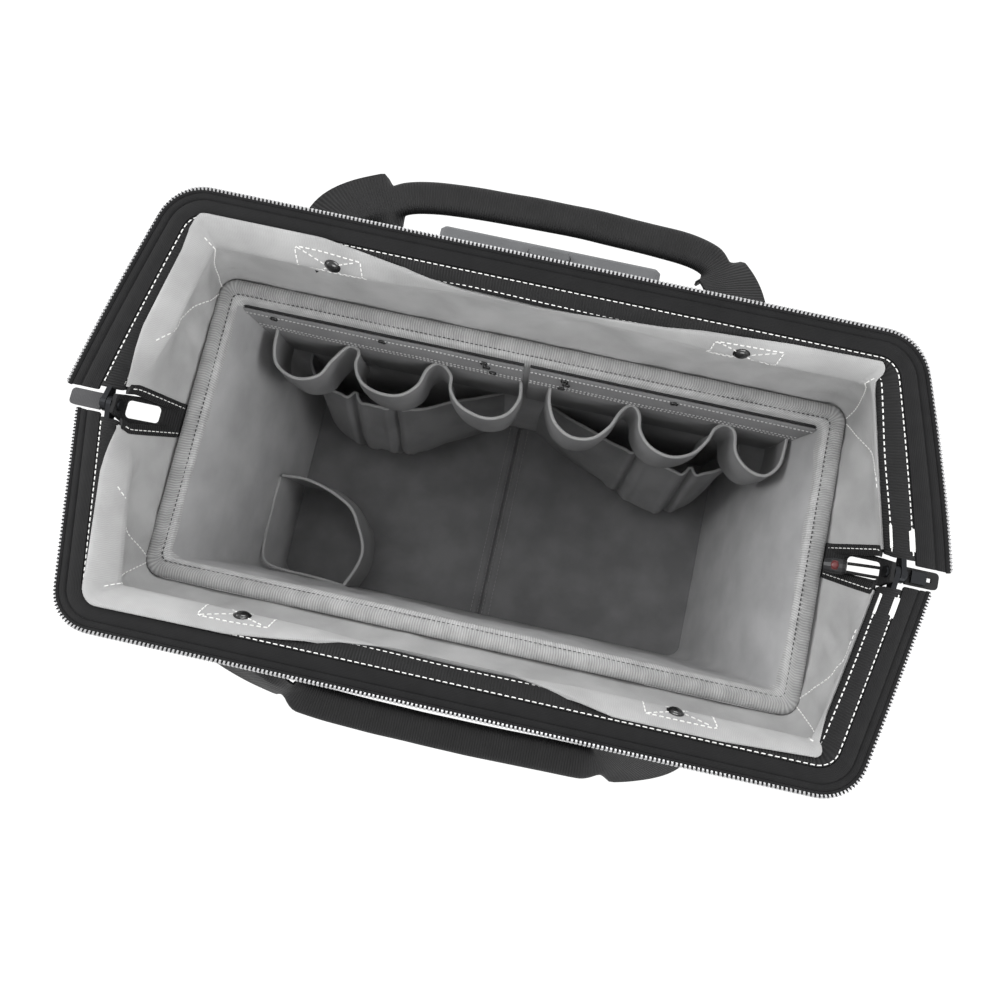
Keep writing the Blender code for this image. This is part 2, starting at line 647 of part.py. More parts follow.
def add_wheel(side, name, frame, hub_material, tyre_material):
    """A moulded hub with lightening holes, in a soft tyre, in the frame of its own axle."""
    axis = empty(f"wheel_{name}_axis", frame, (side * (WHEEL_INNER_FACE + WHEEL_WIDTH / 2), AXLE_Y, WHEEL_RADIUS))
    half = WHEEL_WIDTH / 2
    bore = AXLE_RADIUS + BEARING_GAP
    web = half - HUB_DISH
    seat = HUB_RADIUS - TOUCH_GAP
    profile = [
        (-half, bore), (-half, HUB_BOSS_RADIUS), (-web, HUB_BOSS_RADIUS), (-web, HUB_RADIUS - HUB_RIM),
        (-half, HUB_RADIUS - HUB_RIM), (-half, seat), (half, seat), (half, HUB_RADIUS - HUB_RIM),
        (web, HUB_RADIUS - HUB_RIM), (web, HUB_BOSS_RADIUS), (half, HUB_BOSS_RADIUS), (half, bore),
    ]
    hub = piece(f"wheel_hub_{name}", skin(turned(profile), ring=True), hub_material, axis)
    hole_radius = (HUB_BOSS_RADIUS + HUB_RADIUS - HUB_RIM) / 2
    for index in range(SPOKE_HOLES):
        angle = 2 * math.pi * index / SPOKE_HOLES
        centre = Vector((0, hole_radius * math.cos(angle), hole_radius * math.sin(angle)))
        ends = [
            circle(centre + Vector((x, 0, 0)), SPOKE_HOLE_RADIUS, Vector((0, 1, 0)), Vector((0, 0, 1)), FEW_SIDES)
            for x in (-half, half)
        ]
        boolean(hub, skin(ends), "DIFFERENCE")
    tread = [
        (-half, HUB_RADIUS), (-half, WHEEL_RADIUS - TYRE_SHOULDER), (-half + TYRE_SHOULDER, WHEEL_RADIUS),
        (half - TYRE_SHOULDER, WHEEL_RADIUS), (half, WHEEL_RADIUS - TYRE_SHOULDER), (half, HUB_RADIUS),
    ]
    piece(f"tyre_{name}", skin(turned(tread, TREAD_SIDES), ring=True), tyre_material, axis)


# Pull handle


def tube_loop(stage, height, side, wall=0.0):
    """The outline of a tube of the given stage, 0 being the fixed outer one."""
    shrink = stage * (TUBE_WALL + TUBE_GAP) + wall
    half_x, half_y = TUBE_WIDTH / 2 - shrink, TUBE_DEPTH / 2 - shrink
    return rounded_loop(half_x, half_y, half_y * 2 * TUBE_ROUND_SHARE, height, (side * TUBE_SPREAD, TUBE_Y))


def tube_span(stage):
    """The lowest and highest point of a stage's tubes when the handle is stowed."""
    low = BEAM_TOP + TOUCH_GAP + stage * STAGE_STEP
    tops = [HOUSING_TOP, RIM_HEIGHT, RIM_HEIGHT + STAGE_STEP, GRIP_BOTTOM + GRIP_SOCKET - TOUCH_GAP]
    return low, tops[stage]


def add_tubes(stage, prefix, parent, material):
    low, high = tube_span(stage)
    for side, name in ((-1, "left"), (1, "right")):
        outer = [tube_loop(stage, height, side) for height in (low, high)]
        inner = [tube_loop(stage, height, side, TUBE_WALL) for height in (low, high)]
        piece(f"{prefix}_{name}", pipe(outer, inner), material, parent)


def housing_outline(recess=0.0):
    """The housing's plan: a flat back against the tote, and a recess between the two tube channels."""
    back = TUBE_Y + TUBE_DEPTH / 2 + HOUSING_WALL
    outline = [
        (-HOUSING_HALF_WIDTH, REAR_FACE), (HOUSING_HALF_WIDTH, REAR_FACE), (HOUSING_HALF_WIDTH, back),
        (HOUSING_RECESS_HALF_WIDTH, back), (HOUSING_RECESS_HALF_WIDTH, back - recess),
        (-HOUSING_RECESS_HALF_WIDTH, back - recess), (-HOUSING_RECESS_HALF_WIDTH, back), (-HOUSING_HALF_WIDTH, back),
    ]
    soft = HOUSING_ROUND / 2
    return [(p.x, p.y) for p in fillet(outline, [0, 0, HOUSING_ROUND, soft, soft, soft, soft, HOUSING_ROUND], closed=True)]


def add_handle_housing(frame, material):
    """A moulded channel up the back of the tote, with a bezel where the tubes come out."""
    low = BEAM_TOP + TOUCH_GAP
    housing = piece("handle_housing", prism(housing_outline(HOUSING_RECESS_DEPTH), low, HOUSING_TOP, "z"), material, frame)
    bezel_low, bezel_high = HOUSING_TOP + TOUCH_GAP, HOUSING_TOP + TOUCH_GAP + BEZEL_HEIGHT
    bezel = piece("handle_bezel", prism(housing_outline(HOUSING_RECESS_DEPTH / 2), bezel_low, bezel_high, "z"), material, frame)
    for side in (-1, 1):
        channel = [tube_loop(0, height, side, -TUBE_GAP) for height in (low - OVERRUN, HOUSING_TOP + OVERRUN)]
        boolean(housing, skin(channel), "DIFFERENCE")
        throat = [tube_loop(1, height, side, -TUBE_GAP) for height in (bezel_low - OVERRUN, bezel_high + OVERRUN)]
        boolean(bezel, skin(throat), "DIFFERENCE")


def add_grip(parent, grip_material, button_material):
    """The pull grip, socketed on the inner tubes, with its release button on top."""
    half_y = GRIP_DEPTH / 2
    palm = GRIP_HALF_LENGTH - TUBE_WIDTH
    outline = fillet(
        [
            (-GRIP_HALF_LENGTH, GRIP_BOTTOM), (-palm, GRIP_BOTTOM), (-palm + GRIP_ROUND, GRIP_BOTTOM + GRIP_PALM_RISE),
            (palm - GRIP_ROUND, GRIP_BOTTOM + GRIP_PALM_RISE), (palm, GRIP_BOTTOM), (GRIP_HALF_LENGTH, GRIP_BOTTOM),
            (GRIP_HALF_LENGTH, GRIP_TOP), (-GRIP_HALF_LENGTH, GRIP_TOP),
        ],
        [GRIP_ROUND / 2, 0, 0, 0, 0, GRIP_ROUND / 2, GRIP_ROUND, GRIP_ROUND],
        closed=True,
    )
    flat = [(p.x, p.y) for p in outline]
    grip = piece("pull_grip", prism(flat, TUBE_Y - half_y, TUBE_Y + half_y, "y"), grip_material, parent)
    edge = grip.modifiers.new("edge", "BEVEL")
    edge.width = GRIP_ROUND / 2
    edge.segments = 1
    edge.limit_method = "ANGLE"
    for side in (-1, 1):
        socket = [tube_loop(3, height, side, -TUBE_GAP) for height in (GRIP_BOTTOM - OVERRUN, GRIP_BOTTOM + GRIP_SOCKET)]
        boolean(grip, skin(socket), "DIFFERENCE")
    well_foot = GRIP_TOP + BUTTON_PROUD - BUTTON_HEIGHT - BUTTON_TRAVEL - RUNNING_GAP
    well = [
        rounded_loop(BUTTON_LENGTH / 2 + RUNNING_GAP, BUTTON_DEPTH / 2 + RUNNING_GAP, BUTTON_DEPTH / 2, height, (0, TUBE_Y))
        for height in (well_foot, GRIP_TOP + OVERRUN)
    ]
    boolean(grip, skin(well), "DIFFERENCE")
    axis = empty("release_button_axis", parent, (0, TUBE_Y, GRIP_TOP))
    button = [
        rounded_loop(BUTTON_LENGTH / 2 - inset, BUTTON_DEPTH / 2 - inset, BUTTON_DEPTH / 2 - inset - RUNNING_GAP, height)
        for inset, height in ((0, BUTTON_PROUD - BUTTON_HEIGHT), (0, BUTTON_PROUD / 2), (BUTTON_PROUD / 3, BUTTON_PROUD))
    ]
    piece("release_button", skin(button), button_material, axis)


# Gate mouth


def mouth_path(inset, start):
    """Half the mouth seen flat, from one hinge round to the other, `inset` inside the teeth edge.

    X runs along the bag and Y away from the hinge axis. The ends lie `start` from that axis.
    """
    def on_arm(reach):
        return MOUTH_HALF_LENGTH - reach * ARM_SLOPE - inset * ARM_SECANT

    bar = MOUTH_REACH - inset
    corners = [(on_arm(start), start), (on_arm(bar), bar), (-on_arm(bar), bar), (-on_arm(start), start)]
    return fillet(corners, max(MOUTH_CORNER_RADIUS - inset, LEAST_CORNER_RADIUS))


def along_mouth(profile, start):
    """Loops along the mouth for a profile of (inset, height above the frame's own plane)."""
    paths = [mouth_path(inset, start) for inset, _ in profile]
    return [
        [Vector((path[index].x, path[index].y, height)) for path, (_, height) in zip(paths, profile)]
        for index in range(len(paths[0]))
    ]


def add_frame_wire(name, eye_side, parent, material):
    """A bent wire whose flattened ends are hinge eyes. eye_side is +1 where the eyes are the outer pair."""
    ring = circle(Vector((WIRE_INSET, -WIRE_DEPTH, 0)), WIRE_RADIUS, Vector((1, 0, 0)), Vector((0, 1, 0)), FEW_SIDES)
    wire = piece(name, skin(along_mouth([(p.x, p.y) for p in ring], WIRE_START)), material, parent)
    arc = [math.radians(angle) for angle in range(60, 301, 20)]
    outline = [(EYE_RADIUS * math.cos(a), EYE_RADIUS * math.sin(a)) for a in arc]
    outline += [(EYE_TAB_LENGTH, -WIRE_DEPTH - WIRE_RADIUS), (EYE_TAB_LENGTH, -WIRE_DEPTH + WIRE_RADIUS)]
    for side in (-1, 1):
        near = side * (EYE_X + eye_side * RUNNING_GAP / 2)
        far = side * (EYE_X + eye_side * (RUNNING_GAP / 2 + EYE_THICKNESS))
        boolean(wire, prism(outline, *sorted((near, far)), "x"), "UNION")
        low, high = WIRE_START + TOUCH_GAP, EYE_TAB_LENGTH - TOUCH_GAP
        under, over = -WIRE_DEPTH - WIRE_RADIUS + TOUCH_GAP, -WIRE_DEPTH + WIRE_RADIUS - TOUCH_GAP
        bend = (low, under), (high, under), (high, over), (low, over)
        reach = sorted((side * (EYE_X - EYE_TAB_LENGTH * ARM_SLOPE), (near + far) / 2))
        boolean(wire, prism(bend, *reach, "x"), "UNION")
    for side in (-1, 1):
        hole = [
            circle(Vector((side * (EYE_X + reach), 0, 0)), PIN_RADIUS + BEARING_GAP, Vector((0, 1, 0)), Vector((0, 0, 1)), SMALL_ROUND_SIDES)
            for reach in (-EYE_THICKNESS - OVERRUN, EYE_THICKNESS + OVERRUN)
        ]
        boolean(wire, skin(hole), "DIFFERENCE")


def add_sleeve(name, parent, material):
    """The webbing sleeve round the wire: a flat tube, crowned over the wire."""
    face = -BAND_FACE_GAP
    middle = face - SLEEVE_THICKNESS / 2
    edge = SLEEVE_EDGE_THICKNESS / 2
    crown = SLEEVE_WIDTH * SLEEVE_CROWN_SHARE
    outer = [
        (SLEEVE_OUTER, middle - edge), (SLEEVE_OUTER, middle + edge), (WIRE_INSET - crown, face), (WIRE_INSET + crown, face),
        (SLEEVE_INNER, middle + edge), (SLEEVE_INNER, middle - edge),
        (WIRE_INSET + crown, face - SLEEVE_THICKNESS), (WIRE_INSET - crown, face - SLEEVE_THICKNESS),
    ]
    angles = [math.radians(angle) for angle in (202.5, 157.5, 112.5, 67.5, 22.5, -22.5, -67.5, -112.5)]
    inner = [(WIRE_INSET + WIRE_CHANNEL_RADIUS * math.cos(a), middle + WIRE_CHANNEL_RADIUS * math.sin(a)) for a in angles]
    piece(name, pipe(along_mouth(outer, SLEEVE_START), along_mouth(inner, SLEEVE_START)), material, parent)


def add_zip_side(which, parent, tape_material, teeth_material):
    """One side of the zip: its tape, and the row of teeth along its edge."""
    face = -BAND_FACE_GAP
    tape_low = face - TEETH_THICKNESS / 2 - TAPE_THICKNESS / 2
    tape_high = tape_low + TAPE_THICKNESS
    near, far = TEETH_WIDTH + TOUCH_GAP, SLEEVE_OUTER - TOUCH_GAP
    tape = [(near, tape_low), (far, tape_low), (far, tape_high), (near, tape_high)]
    piece(f"zip_tape_{which}", skin(along_mouth(tape, TAPE_START)), tape_material, parent)
    low = face - TEETH_THICKNESS
    quarter = TEETH_THICKNESS / 4
    teeth = [(0, low + quarter), (quarter, low), (TEETH_WIDTH, low), (TEETH_WIDTH, face), (quarter, face), (0, face - quarter)]
    piece(f"zip_teeth_{which}", skin(along_mouth(teeth, TAPE_START)), teeth_material, parent)


def handle_anchor():
    """Where a carry handle swings, in the flat frame of its half of the mouth."""
    out, down = HANDLE_FROM_HINGE, HANDLE_BELOW_HINGE
    slope, level = math.sin(MOUTH_OPEN_ANGLE), math.cos(MOUTH_OPEN_ANGLE)
    return out * level - down * slope, -out * slope - down * level


def rivet_loops(side, tilt, stations):
    """Rings round a rivet's axis, for (distance inwards from the handle's axis, radius) stations."""
    reach, height = handle_anchor()
    lean = Matrix.Rotation(-MOUTH_OPEN_ANGLE - tilt, 3, "X")
    inwards, up = lean @ Vector((0, -1, 0)), lean @ Vector((0, 0, 1))
    centre = Vector((side * HANDLE_HALF_SPAN, reach, height))
    return [circle(centre + inwards * way, radius, Vector((1, 0, 0)), up, SMALL_ROUND_SIDES) for way, radius in stations]


def add_rivets(which, tilt, parent, material):
    """Two rivets through the skirt, that hold a carry handle to the mouth. Their domed heads are inside."""
    end = RIVET_INSIDE + RIVET_HEAD_HEIGHT
    stations = [
        (end - RIVET_LENGTH, RIVET_RADIUS), (RIVET_INSIDE, RIVET_RADIUS), (RIVET_INSIDE, RIVET_HEAD_RADIUS),
        (RIVET_INSIDE + RIVET_HEAD_HEIGHT / 2, RIVET_HEAD_RADIUS * 0.85), (end, RIVET_HEAD_RADIUS * 0.35),
    ]
    for side, name in ((-1, "a"), (1, "b")):
        piece(f"rivet_{which}_{name}", skin(rivet_loops(side, tilt, stations)), material, parent)


def add_carry_handle(name, droop, parent, material):
    """A webbing loop: broad sewn ends that fold into a narrow, doubled grip. It droops below the level."""
    axis = empty(f"{name}_axis", parent, (0, *handle_anchor()), (-MOUTH_OPEN_ANGLE - droop, 0, 0))
    shoulder = HANDLE_REACH * HANDLE_SHOULDER_SHARE
    right = [
        (HANDLE_HALF_SPAN, -HANDLE_LAP), (HANDLE_HALF_SPAN, shoulder),
        (HANDLE_HALF_SPAN - HANDLE_BULGE, (shoulder + HANDLE_REACH) / 2 + HANDLE_BULGE / 2), (GRIP_WEB_HALF_LENGTH, HANDLE_REACH),
    ]
    corners = right + [(-x, y) for x, y in reversed(right)]
    path = fillet(corners, [0] + [HANDLE_BEND_RADIUS] * (len(corners) - 2) + [0], steps=3)
    loops = []
    for index, point in enumerate(path):
        before, after = path[max(index - 1, 0)], path[min(index + 1, len(path) - 1)]
        forward = (after - before).normalized()
        across = Vector((forward.y, -forward.x, 0))
        share = min(max(point.y, 0.0) / HANDLE_REACH, 1.0)
        half_width = (STRAP_END_WIDTH + (GRIP_WEB_WIDTH - STRAP_END_WIDTH) * share) / 2
        half_thick = (STRAP_END_THICKNESS + (GRIP_WEB_THICKNESS - STRAP_END_THICKNESS) * share) / 2
        trim = min(GRIP_WEB_CHAMFER, half_thick / 2)
        ring = [
            (half_width, half_thick - trim), (half_width - trim, half_thick), (trim - half_width, half_thick),
            (-half_width, half_thick - trim), (-half_width, trim - half_thick), (trim - half_width, -half_thick),
            (half_width - trim, -half_thick), (half_width, trim - half_thick),
        ]
        loops.append([point + across * a + Vector((0, 0, b)) for a, b in ring])
    piece(name, skin(loops), material, axis)


def add_mouth_half(which, eye_side, turn, droop, rivet_tilt, frame, looks):
    """One hinged half of the mouth. `turn` faces it to the front or the back."""
    rotation = (Matrix.Rotation(turn, 3, "Z") @ Matrix.Rotation(MOUTH_OPEN_ANGLE, 3, "X")).to_euler()
    axis = empty(f"mouth_{which}_axis", frame, (0, -HINGE_FORWARD, HINGE_HEIGHT), rotation)
    add_frame_wire(f"frame_wire_{which}", eye_side, axis, looks["steel"])
    add_sleeve(f"wire_sleeve_{which}", axis, looks["webbing"])
    add_zip_side(which, axis, looks["tape"], looks["teeth"])
    add_rivets(which, rivet_tilt, axis, looks["rivet"])
    add_carry_handle(f"carry_handle_{which}", droop, axis, looks["webbing"])
    return axis


def add_skirt(which, turn, rivet_tilt, frame, material):
    """The loose lining from the rim up to one half of the mouth, as a thin U-shaped wall that bellies outwards."""
    tilt = Matrix.Rotation(turn, 4, "Z")
    to_bag = Matrix.Translation((0, -HINGE_FORWARD, HINGE_HEIGHT)) @ tilt @ Matrix.Rotation(MOUTH_OPEN_ANGLE, 4, "X")
    end = STRAP_HALF_WIDTH + SKIRT_END_GAP
    under = BAND_FACE_GAP + SLEEVE_THICKNESS + TOUCH_GAP
    bulge = SKIRT_BULGE + HINGE_FORWARD * (SKIRT_LEAN_SHARE if turn else -SKIRT_LEAN_SHARE)

    def rim_row(out, height):
        half_x, half_y = RIM_HALF_LENGTH + out, RIM_HALF_WIDTH + out
        corners = [(half_x, end), (half_x, half_y), (-half_x, half_y), (-half_x, end)]
        return [tilt @ Vector((p.x, p.y, height)) for p in fillet(corners, CORNER_RADIUS + BINDING_PROUD + out)]

    def mouth_row(out):
        return [to_bag @ Vector((p.x, p.y, -under)) for p in mouth_path(WIRE_INSET - out, end)]

    outward = [(far - near).normalized() for near, far in zip(rim_row(0, 0), rim_row(SKIRT_OUT, 0))]

    def face(out):
        low, high = rim_row(out, RIM_HEIGHT), mouth_row(out - SKIRT_OUT)
        rows = [rim_row(out, RIM_HEIGHT - SKIRT_HEM)]
        for step in range(SKIRT_ROWS + 1):
            share = step / SKIRT_ROWS
            swell = bulge * math.sin(math.pi * share**SKIRT_RISE_POWER)
            rows.append([bottom.lerp(top, share) + way * swell for bottom, top, way in zip(low, high, outward)])
        return rows

    rows = face(SKIRT_OUT) + face(SKIRT_OUT + SKIRT_THICKNESS)[::-1]
    skirt = piece(f"mouth_skirt_{which}", skin([[row[index] for row in rows] for index in range(len(rows[0]))]), material, frame)
    for side in (-1, 1):
        radius = RIVET_RADIUS + RIVET_HOLE_GAP
        stations = [(RIVET_INSIDE - RIVET_LENGTH, radius), (RIVET_INSIDE + RIVET_LENGTH, radius)]
        hole = rivet_loops(side, rivet_tilt, stations)
        boolean(skirt, skin([[to_bag @ point for point in loop] for loop in hole]), "DIFFERENCE")


def add_end_strap(side, name, frame, strap_material, steel):
    """A stitched strap that stands up from the end wall, split by a slit, and carries the mouth's hinge pin."""
    inner_x = RIM_HALF_LENGTH + TOUCH_GAP
    top_x = EYE_X - EYE_THICKNESS - RUNNING_GAP / 2 - TOUCH_GAP - STRAP_THICKNESS
    neck = HINGE_HEIGHT - STRAP_NECK_BELOW_HINGE
    rise = [
        (inner_x, RIM_HEIGHT - STRAP_DROP, STRAP_HALF_WIDTH, 0), (inner_x, RIM_HEIGHT, STRAP_HALF_WIDTH, 0),
        (top_x, neck, STRAP_HALF_WIDTH / 2 + STRAP_TOP_HALF_WIDTH / 2, -HINGE_FORWARD),
        (top_x, HINGE_HEIGHT + STRAP_TOP_ABOVE_HINGE, STRAP_TOP_HALF_WIDTH, -HINGE_FORWARD),
    ]
    loops = []
    for x, height, half, middle in rise:
        near, far = side * x, side * (x + STRAP_THICKNESS)
        corners = (near, middle - half), (far, middle - half), (far, middle + half), (near, middle + half)
        loops.append([Vector((a, b, height)) for a, b in corners])
    strap = piece(f"end_strap_{name}", skin(loops), strap_material, frame)
    slit_low, slit_high = RIM_HEIGHT + SLIT_START, neck - SLIT_BELOW_NECK
    corners = []
    for height, way in ((slit_low, 1), (slit_high, -1)):
        middle = -HINGE_FORWARD * (height - RIM_HEIGHT) / (neck - RIM_HEIGHT)
        corners += [(middle - way * SLIT_HALF_WIDTH, height), (middle + way * SLIT_HALF_WIDTH, height)]
    slit = fillet(corners, SLIT_ROUND, closed=True)
    ends = sorted((side * (inner_x - OVERRUN), side * (top_x + STRAP_THICKNESS + OVERRUN)))
    boolean(strap, prism([(p.x, p.y) for p in slit], *ends, "x"), "DIFFERENCE")
    across, up = Vector((0, 1, 0)), Vector((0, 0, 1))
    centre = Vector((0, -HINGE_FORWARD, HINGE_HEIGHT))
    bore = [circle(centre + Vector((x, 0, 0)), PIN_RADIUS + BEARING_GAP, across, up, SMALL_ROUND_SIDES) for x in ends]
    boolean(strap, skin(bore), "DIFFERENCE")
    low = top_x - TOUCH_GAP
    high = EYE_X + RUNNING_GAP / 2 + EYE_THICKNESS + TOUCH_GAP
    stations = [
        (low - PIN_HEAD_LENGTH, PIN_HEAD_RADIUS), (low, PIN_HEAD_RADIUS), (low, PIN_RADIUS), (high, PIN_RADIUS),
        (high, PIN_HEAD_RADIUS), (high + PIN_HEAD_LENGTH, PIN_HEAD_RADIUS),
    ]
    loops = [circle(centre + Vector((side * x, 0, 0)), radius, across, up, SMALL_ROUND_SIDES) for x, radius in stations]
    piece(f"hinge_pin_{name}", skin(loops), steel, frame)


def tail_start():
    """Where a zip tail begins, just outside the head of the hinge pin."""
    return EYE_X + RUNNING_GAP / 2 + EYE_THICKNESS + TOUCH_GAP + PIN_HEAD_LENGTH + TOUCH_GAP


def add_zip_tail(side, name, frame, material):
    """The closed end of the zip, beyond the hinge. The right-hand one is split, and the slider rides in the split."""
    start, end = tail_start(), MOUTH_HALF_LENGTH + TAIL_REACH
    middle = -HINGE_FORWARD
    outline = [
        (side * start, middle - TAIL_HALF_WIDTH), (side * end, middle - TAIL_HALF_WIDTH),
        (side * end, middle + TAIL_HALF_WIDTH), (side * start, middle + TAIL_HALF_WIDTH),
    ]
    corner = TAIL_HALF_WIDTH / 2
    outline = fillet(outline, [0, corner, corner, 0], closed=True)
    low, high = HINGE_HEIGHT - TAIL_THICKNESS / 2, HINGE_HEIGHT + TAIL_THICKNESS / 2
    tail = piece(f"zip_tail_{name}", prism([(p.x, p.y) for p in outline], low, high, "z"), material, frame)
    if side > 0:
        near = start + TAIL_SLOT_START
        far = near + SLIDER_LENGTH + SLIDER_TRAVEL + 2 * RUNNING_GAP
        slot = box(
            (near, middle - TAIL_SLOT_HALF_WIDTH, low - OVERRUN), (far, middle + TAIL_SLOT_HALF_WIDTH, high + OVERRUN)
        )
        boolean(tail, slot, "DIFFERENCE")


def add_zip_slider(frame, metal, cord_material, knob_material):
    """The slider on the right-hand tail of the zip, with a cord pull that hangs from its lug."""
    half = SLIDER_LENGTH / 2
    centre = tail_start() + TAIL_SLOT_START + RUNNING_GAP + half
    axis = empty("zip_slider_axis", frame, (centre, -HINGE_FORWARD, HINGE_HEIGHT))
    corners = [
        (-SLIDER_HALF_WIDTH, -SLIDER_BOTTOM), (SLIDER_HALF_WIDTH, -SLIDER_BOTTOM),
        (SLIDER_HALF_WIDTH, SLIDER_TOP), (-SLIDER_HALF_WIDTH, SLIDER_TOP),
    ]
    outline = fillet(corners, SLIDER_TOP / 3, closed=True, steps=2)
    slider = piece("zip_slider", prism([(p.x, p.y) for p in outline], -half, half, "x"), metal, axis)
    room = TAIL_THICKNESS / 2 + RUNNING_GAP
    for side in (-1, 1):
        near, far = sorted((side * SLIDER_NECK_HALF_WIDTH, side * (SLIDER_HALF_WIDTH + OVERRUN)))
        boolean(slider, box((-half - OVERRUN, near, -room), (half + OVERRUN, far, room)), "DIFFERENCE")
    lug_foot = SLIDER_BOTTOM + SLIDER_LUG_DROP
    low = (-SLIDER_LUG_LENGTH / 2, -SLIDER_LUG_THICKNESS / 2, -lug_foot)
    high = (SLIDER_LUG_LENGTH / 2, SLIDER_LUG_THICKNESS / 2, -SLIDER_BOTTOM + WELD_IN)
    boolean(slider, box(low, high), "UNION")
    height = -SLIDER_BOTTOM - SLIDER_LUG_DROP / 2
    along, across, up = Vector((1, 0, 0)), Vector((0, 1, 0)), Vector((0, 0, 1))
    eye = [
        circle(Vector((0, y, height)), CORD_RADIUS + RUNNING_GAP / 2, along, up, SMALL_ROUND_SIDES)
        for y in (-SLIDER_LUG_THICKNESS, SLIDER_LUG_THICKNESS)
    ]
    boolean(slider, skin(eye), "DIFFERENCE")

    pull = empty("zip_pull_axis", axis, (0, 0, height), (0, math.pi / 2 - PULL_DIP, 0))
    strands = [(0, CORD_HALF_GAP, -CORD_DROP), (0, CORD_HALF_GAP, 0), (0, -CORD_HALF_GAP, 0), (0, -CORD_HALF_GAP, -CORD_DROP)]
    path = fillet(strands, [0, CORD_HALF_GAP / 2, CORD_HALF_GAP / 2, 0], steps=3)
    loops = []
    for index, point in enumerate(path):
        before, after = path[max(index - 1, 0)], path[min(index + 1, len(path) - 1)]
        loops.append(circle(point, CORD_RADIUS, along, (after - before).normalized().cross(along), FEW_SIDES))
    piece("zip_pull_cord", skin(loops), cord_material, pull)
    top = -CORD_DROP - TOUCH_GAP
    stations = [
        (top, KNOB_RADIUS * 0.8), (top - KNOB_LENGTH / 6, KNOB_RADIUS), (top - KNOB_LENGTH * 2 / 3, KNOB_RADIUS),
        (top - KNOB_LENGTH, KNOB_NECK_RADIUS),
    ]
    knob = [circle(Vector((0, 0, z)), radius, along, across, SMALL_ROUND_SIDES) for z, radius in stations]
    piece("zip_pull_knob", skin(knob), knob_material, pull)


def centre_on_origin(frame):
    """Slides the whole bag along Y, so that the origin lies under the middle of its length and width."""
    bpy.context.view_layer.update()
    reaches = [
        (solid.matrix_world @ vertex.co).y
        for solid in bpy.data.objects if solid.type == "MESH" and not solid.hide_render
        for vertex in solid.data.vertices
    ]
    frame.location.y = -(min(reaches) + max(reaches)) / 2


def main():
    for old in list(bpy.data.objects):
        bpy.data.objects.remove(old, do_unlink=True)
    looks = {
        "shell": finish("coated polyester shell", "#2a2a2c", 0.85),
        "lining": finish("grey polyester lining", "#a9a9ab", 0.8),
        "binding": finish("grey grosgrain binding", "#b4b4b4", 0.85),
        "webbing": finish("black polypropylene webbing", "#18181a", 0.75),
        "tape": finish("black zip tape", "#1d1d1f", 0.85),
        "teeth": finish("silver zip teeth", "#b9b9b9", 0.35, 0.8),
        "steel": finish("zinc-plated steel", "#9a9c9e", 0.35, 1.0),
        "alloy": finish("anodised aluminium tube", "#a8abae", 0.35, 1.0),
        "moulding": finish("black moulded polypropylene", "#1c1c1e", 0.55),
        "hub": finish("grey moulded hub", "#6d6e70", 0.5),
        "rubber": finish("black rubber", "#141414", 0.9),
        "rivet": finish("black enamelled rivet", "#101010", 0.3, 0.5),
        "accent": finish("dark red moulded tip", "#5a1a1c", 0.45),
        "grip": finish("grey soft-touch grip", "#5c5d5f", 0.5),
    }
    frame = empty("bag_frame")

    add_long_wall("front_wall", -1, frame, looks["shell"])
    add_long_wall("back_wall", 1, frame, looks["shell"])
    add_end_wall("end_wall_left", -1, frame, looks["shell"])
    add_end_wall("end_wall_right", 1, frame, looks["shell"])
    add_rim_binding(frame, looks["binding"])
    add_floor_board(frame, looks["lining"])
    add_base_tray(frame, looks["moulding"])
    add_feet(frame, looks["rubber"])

    add_tool_loops("tool_loops_left", -1, frame, looks["lining"])
    add_tool_loops("tool_loops_right", 1, frame, looks["lining"])
    add_pouch("pouch_left", -1, frame, looks["lining"])
    add_pouch("pouch_right", 1, frame, looks["lining"])
    add_corner_pocket(frame, looks["lining"])
    add_front_pocket(frame, looks["shell"])

    add_rear_chassis(frame, looks["moulding"])
    add_axle(frame, looks["steel"], looks["moulding"])
    add_wheel(-1, "left", frame, looks["hub"], looks["rubber"])
    add_wheel(1, "right", frame, looks["hub"], looks["rubber"])

    add_handle_housing(frame, looks["moulding"])
    add_tubes(0, "outer_tube", frame, looks["alloy"])
    stage_frame = frame
    for stage in (1, 2, 3):
        stage_frame = empty(f"pull_stage_{stage}_axis", stage_frame)
        add_tubes(stage, f"stage_{stage}_tube", stage_frame, looks["alloy"])
    add_grip(stage_frame, looks["grip"], looks["accent"])

    add_mouth_half("front", -1, math.pi, FRONT_HANDLE_DROOP, FRONT_RIVET_TILT, frame, looks)
    add_mouth_half("back", 1, 0, BACK_HANDLE_DROOP, BACK_RIVET_TILT, frame, looks)
    add_skirt("front", math.pi, FRONT_RIVET_TILT, frame, looks["lining"])
    add_skirt("back", 0, BACK_RIVET_TILT, frame, looks["lining"])
    add_end_strap(-1, "left", frame, looks["webbing"], looks["steel"])
    add_end_strap(1, "right", frame, looks["webbing"], looks["steel"])
    add_zip_tail(-1, "left", frame, looks["tape"])
    add_zip_tail(1, "right", frame, looks["tape"])
    add_zip_slider(frame, looks["steel"], looks["webbing"], looks["accent"])

    centre_on_origin(frame)


main()
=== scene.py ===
"""The looks of an open rolling tool bag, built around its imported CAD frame.

Metres, in the frame's own axes: +Z up, +X along the bag, -Y to its front. The tote's middle is BAG_Y forward
of the origin. Soft goods are meshes worked out from the bag's own outlines. Rigid parts keep their solids.
"""

import math

import bmesh
import bpy
from mathutils import Matrix, Vector, noise


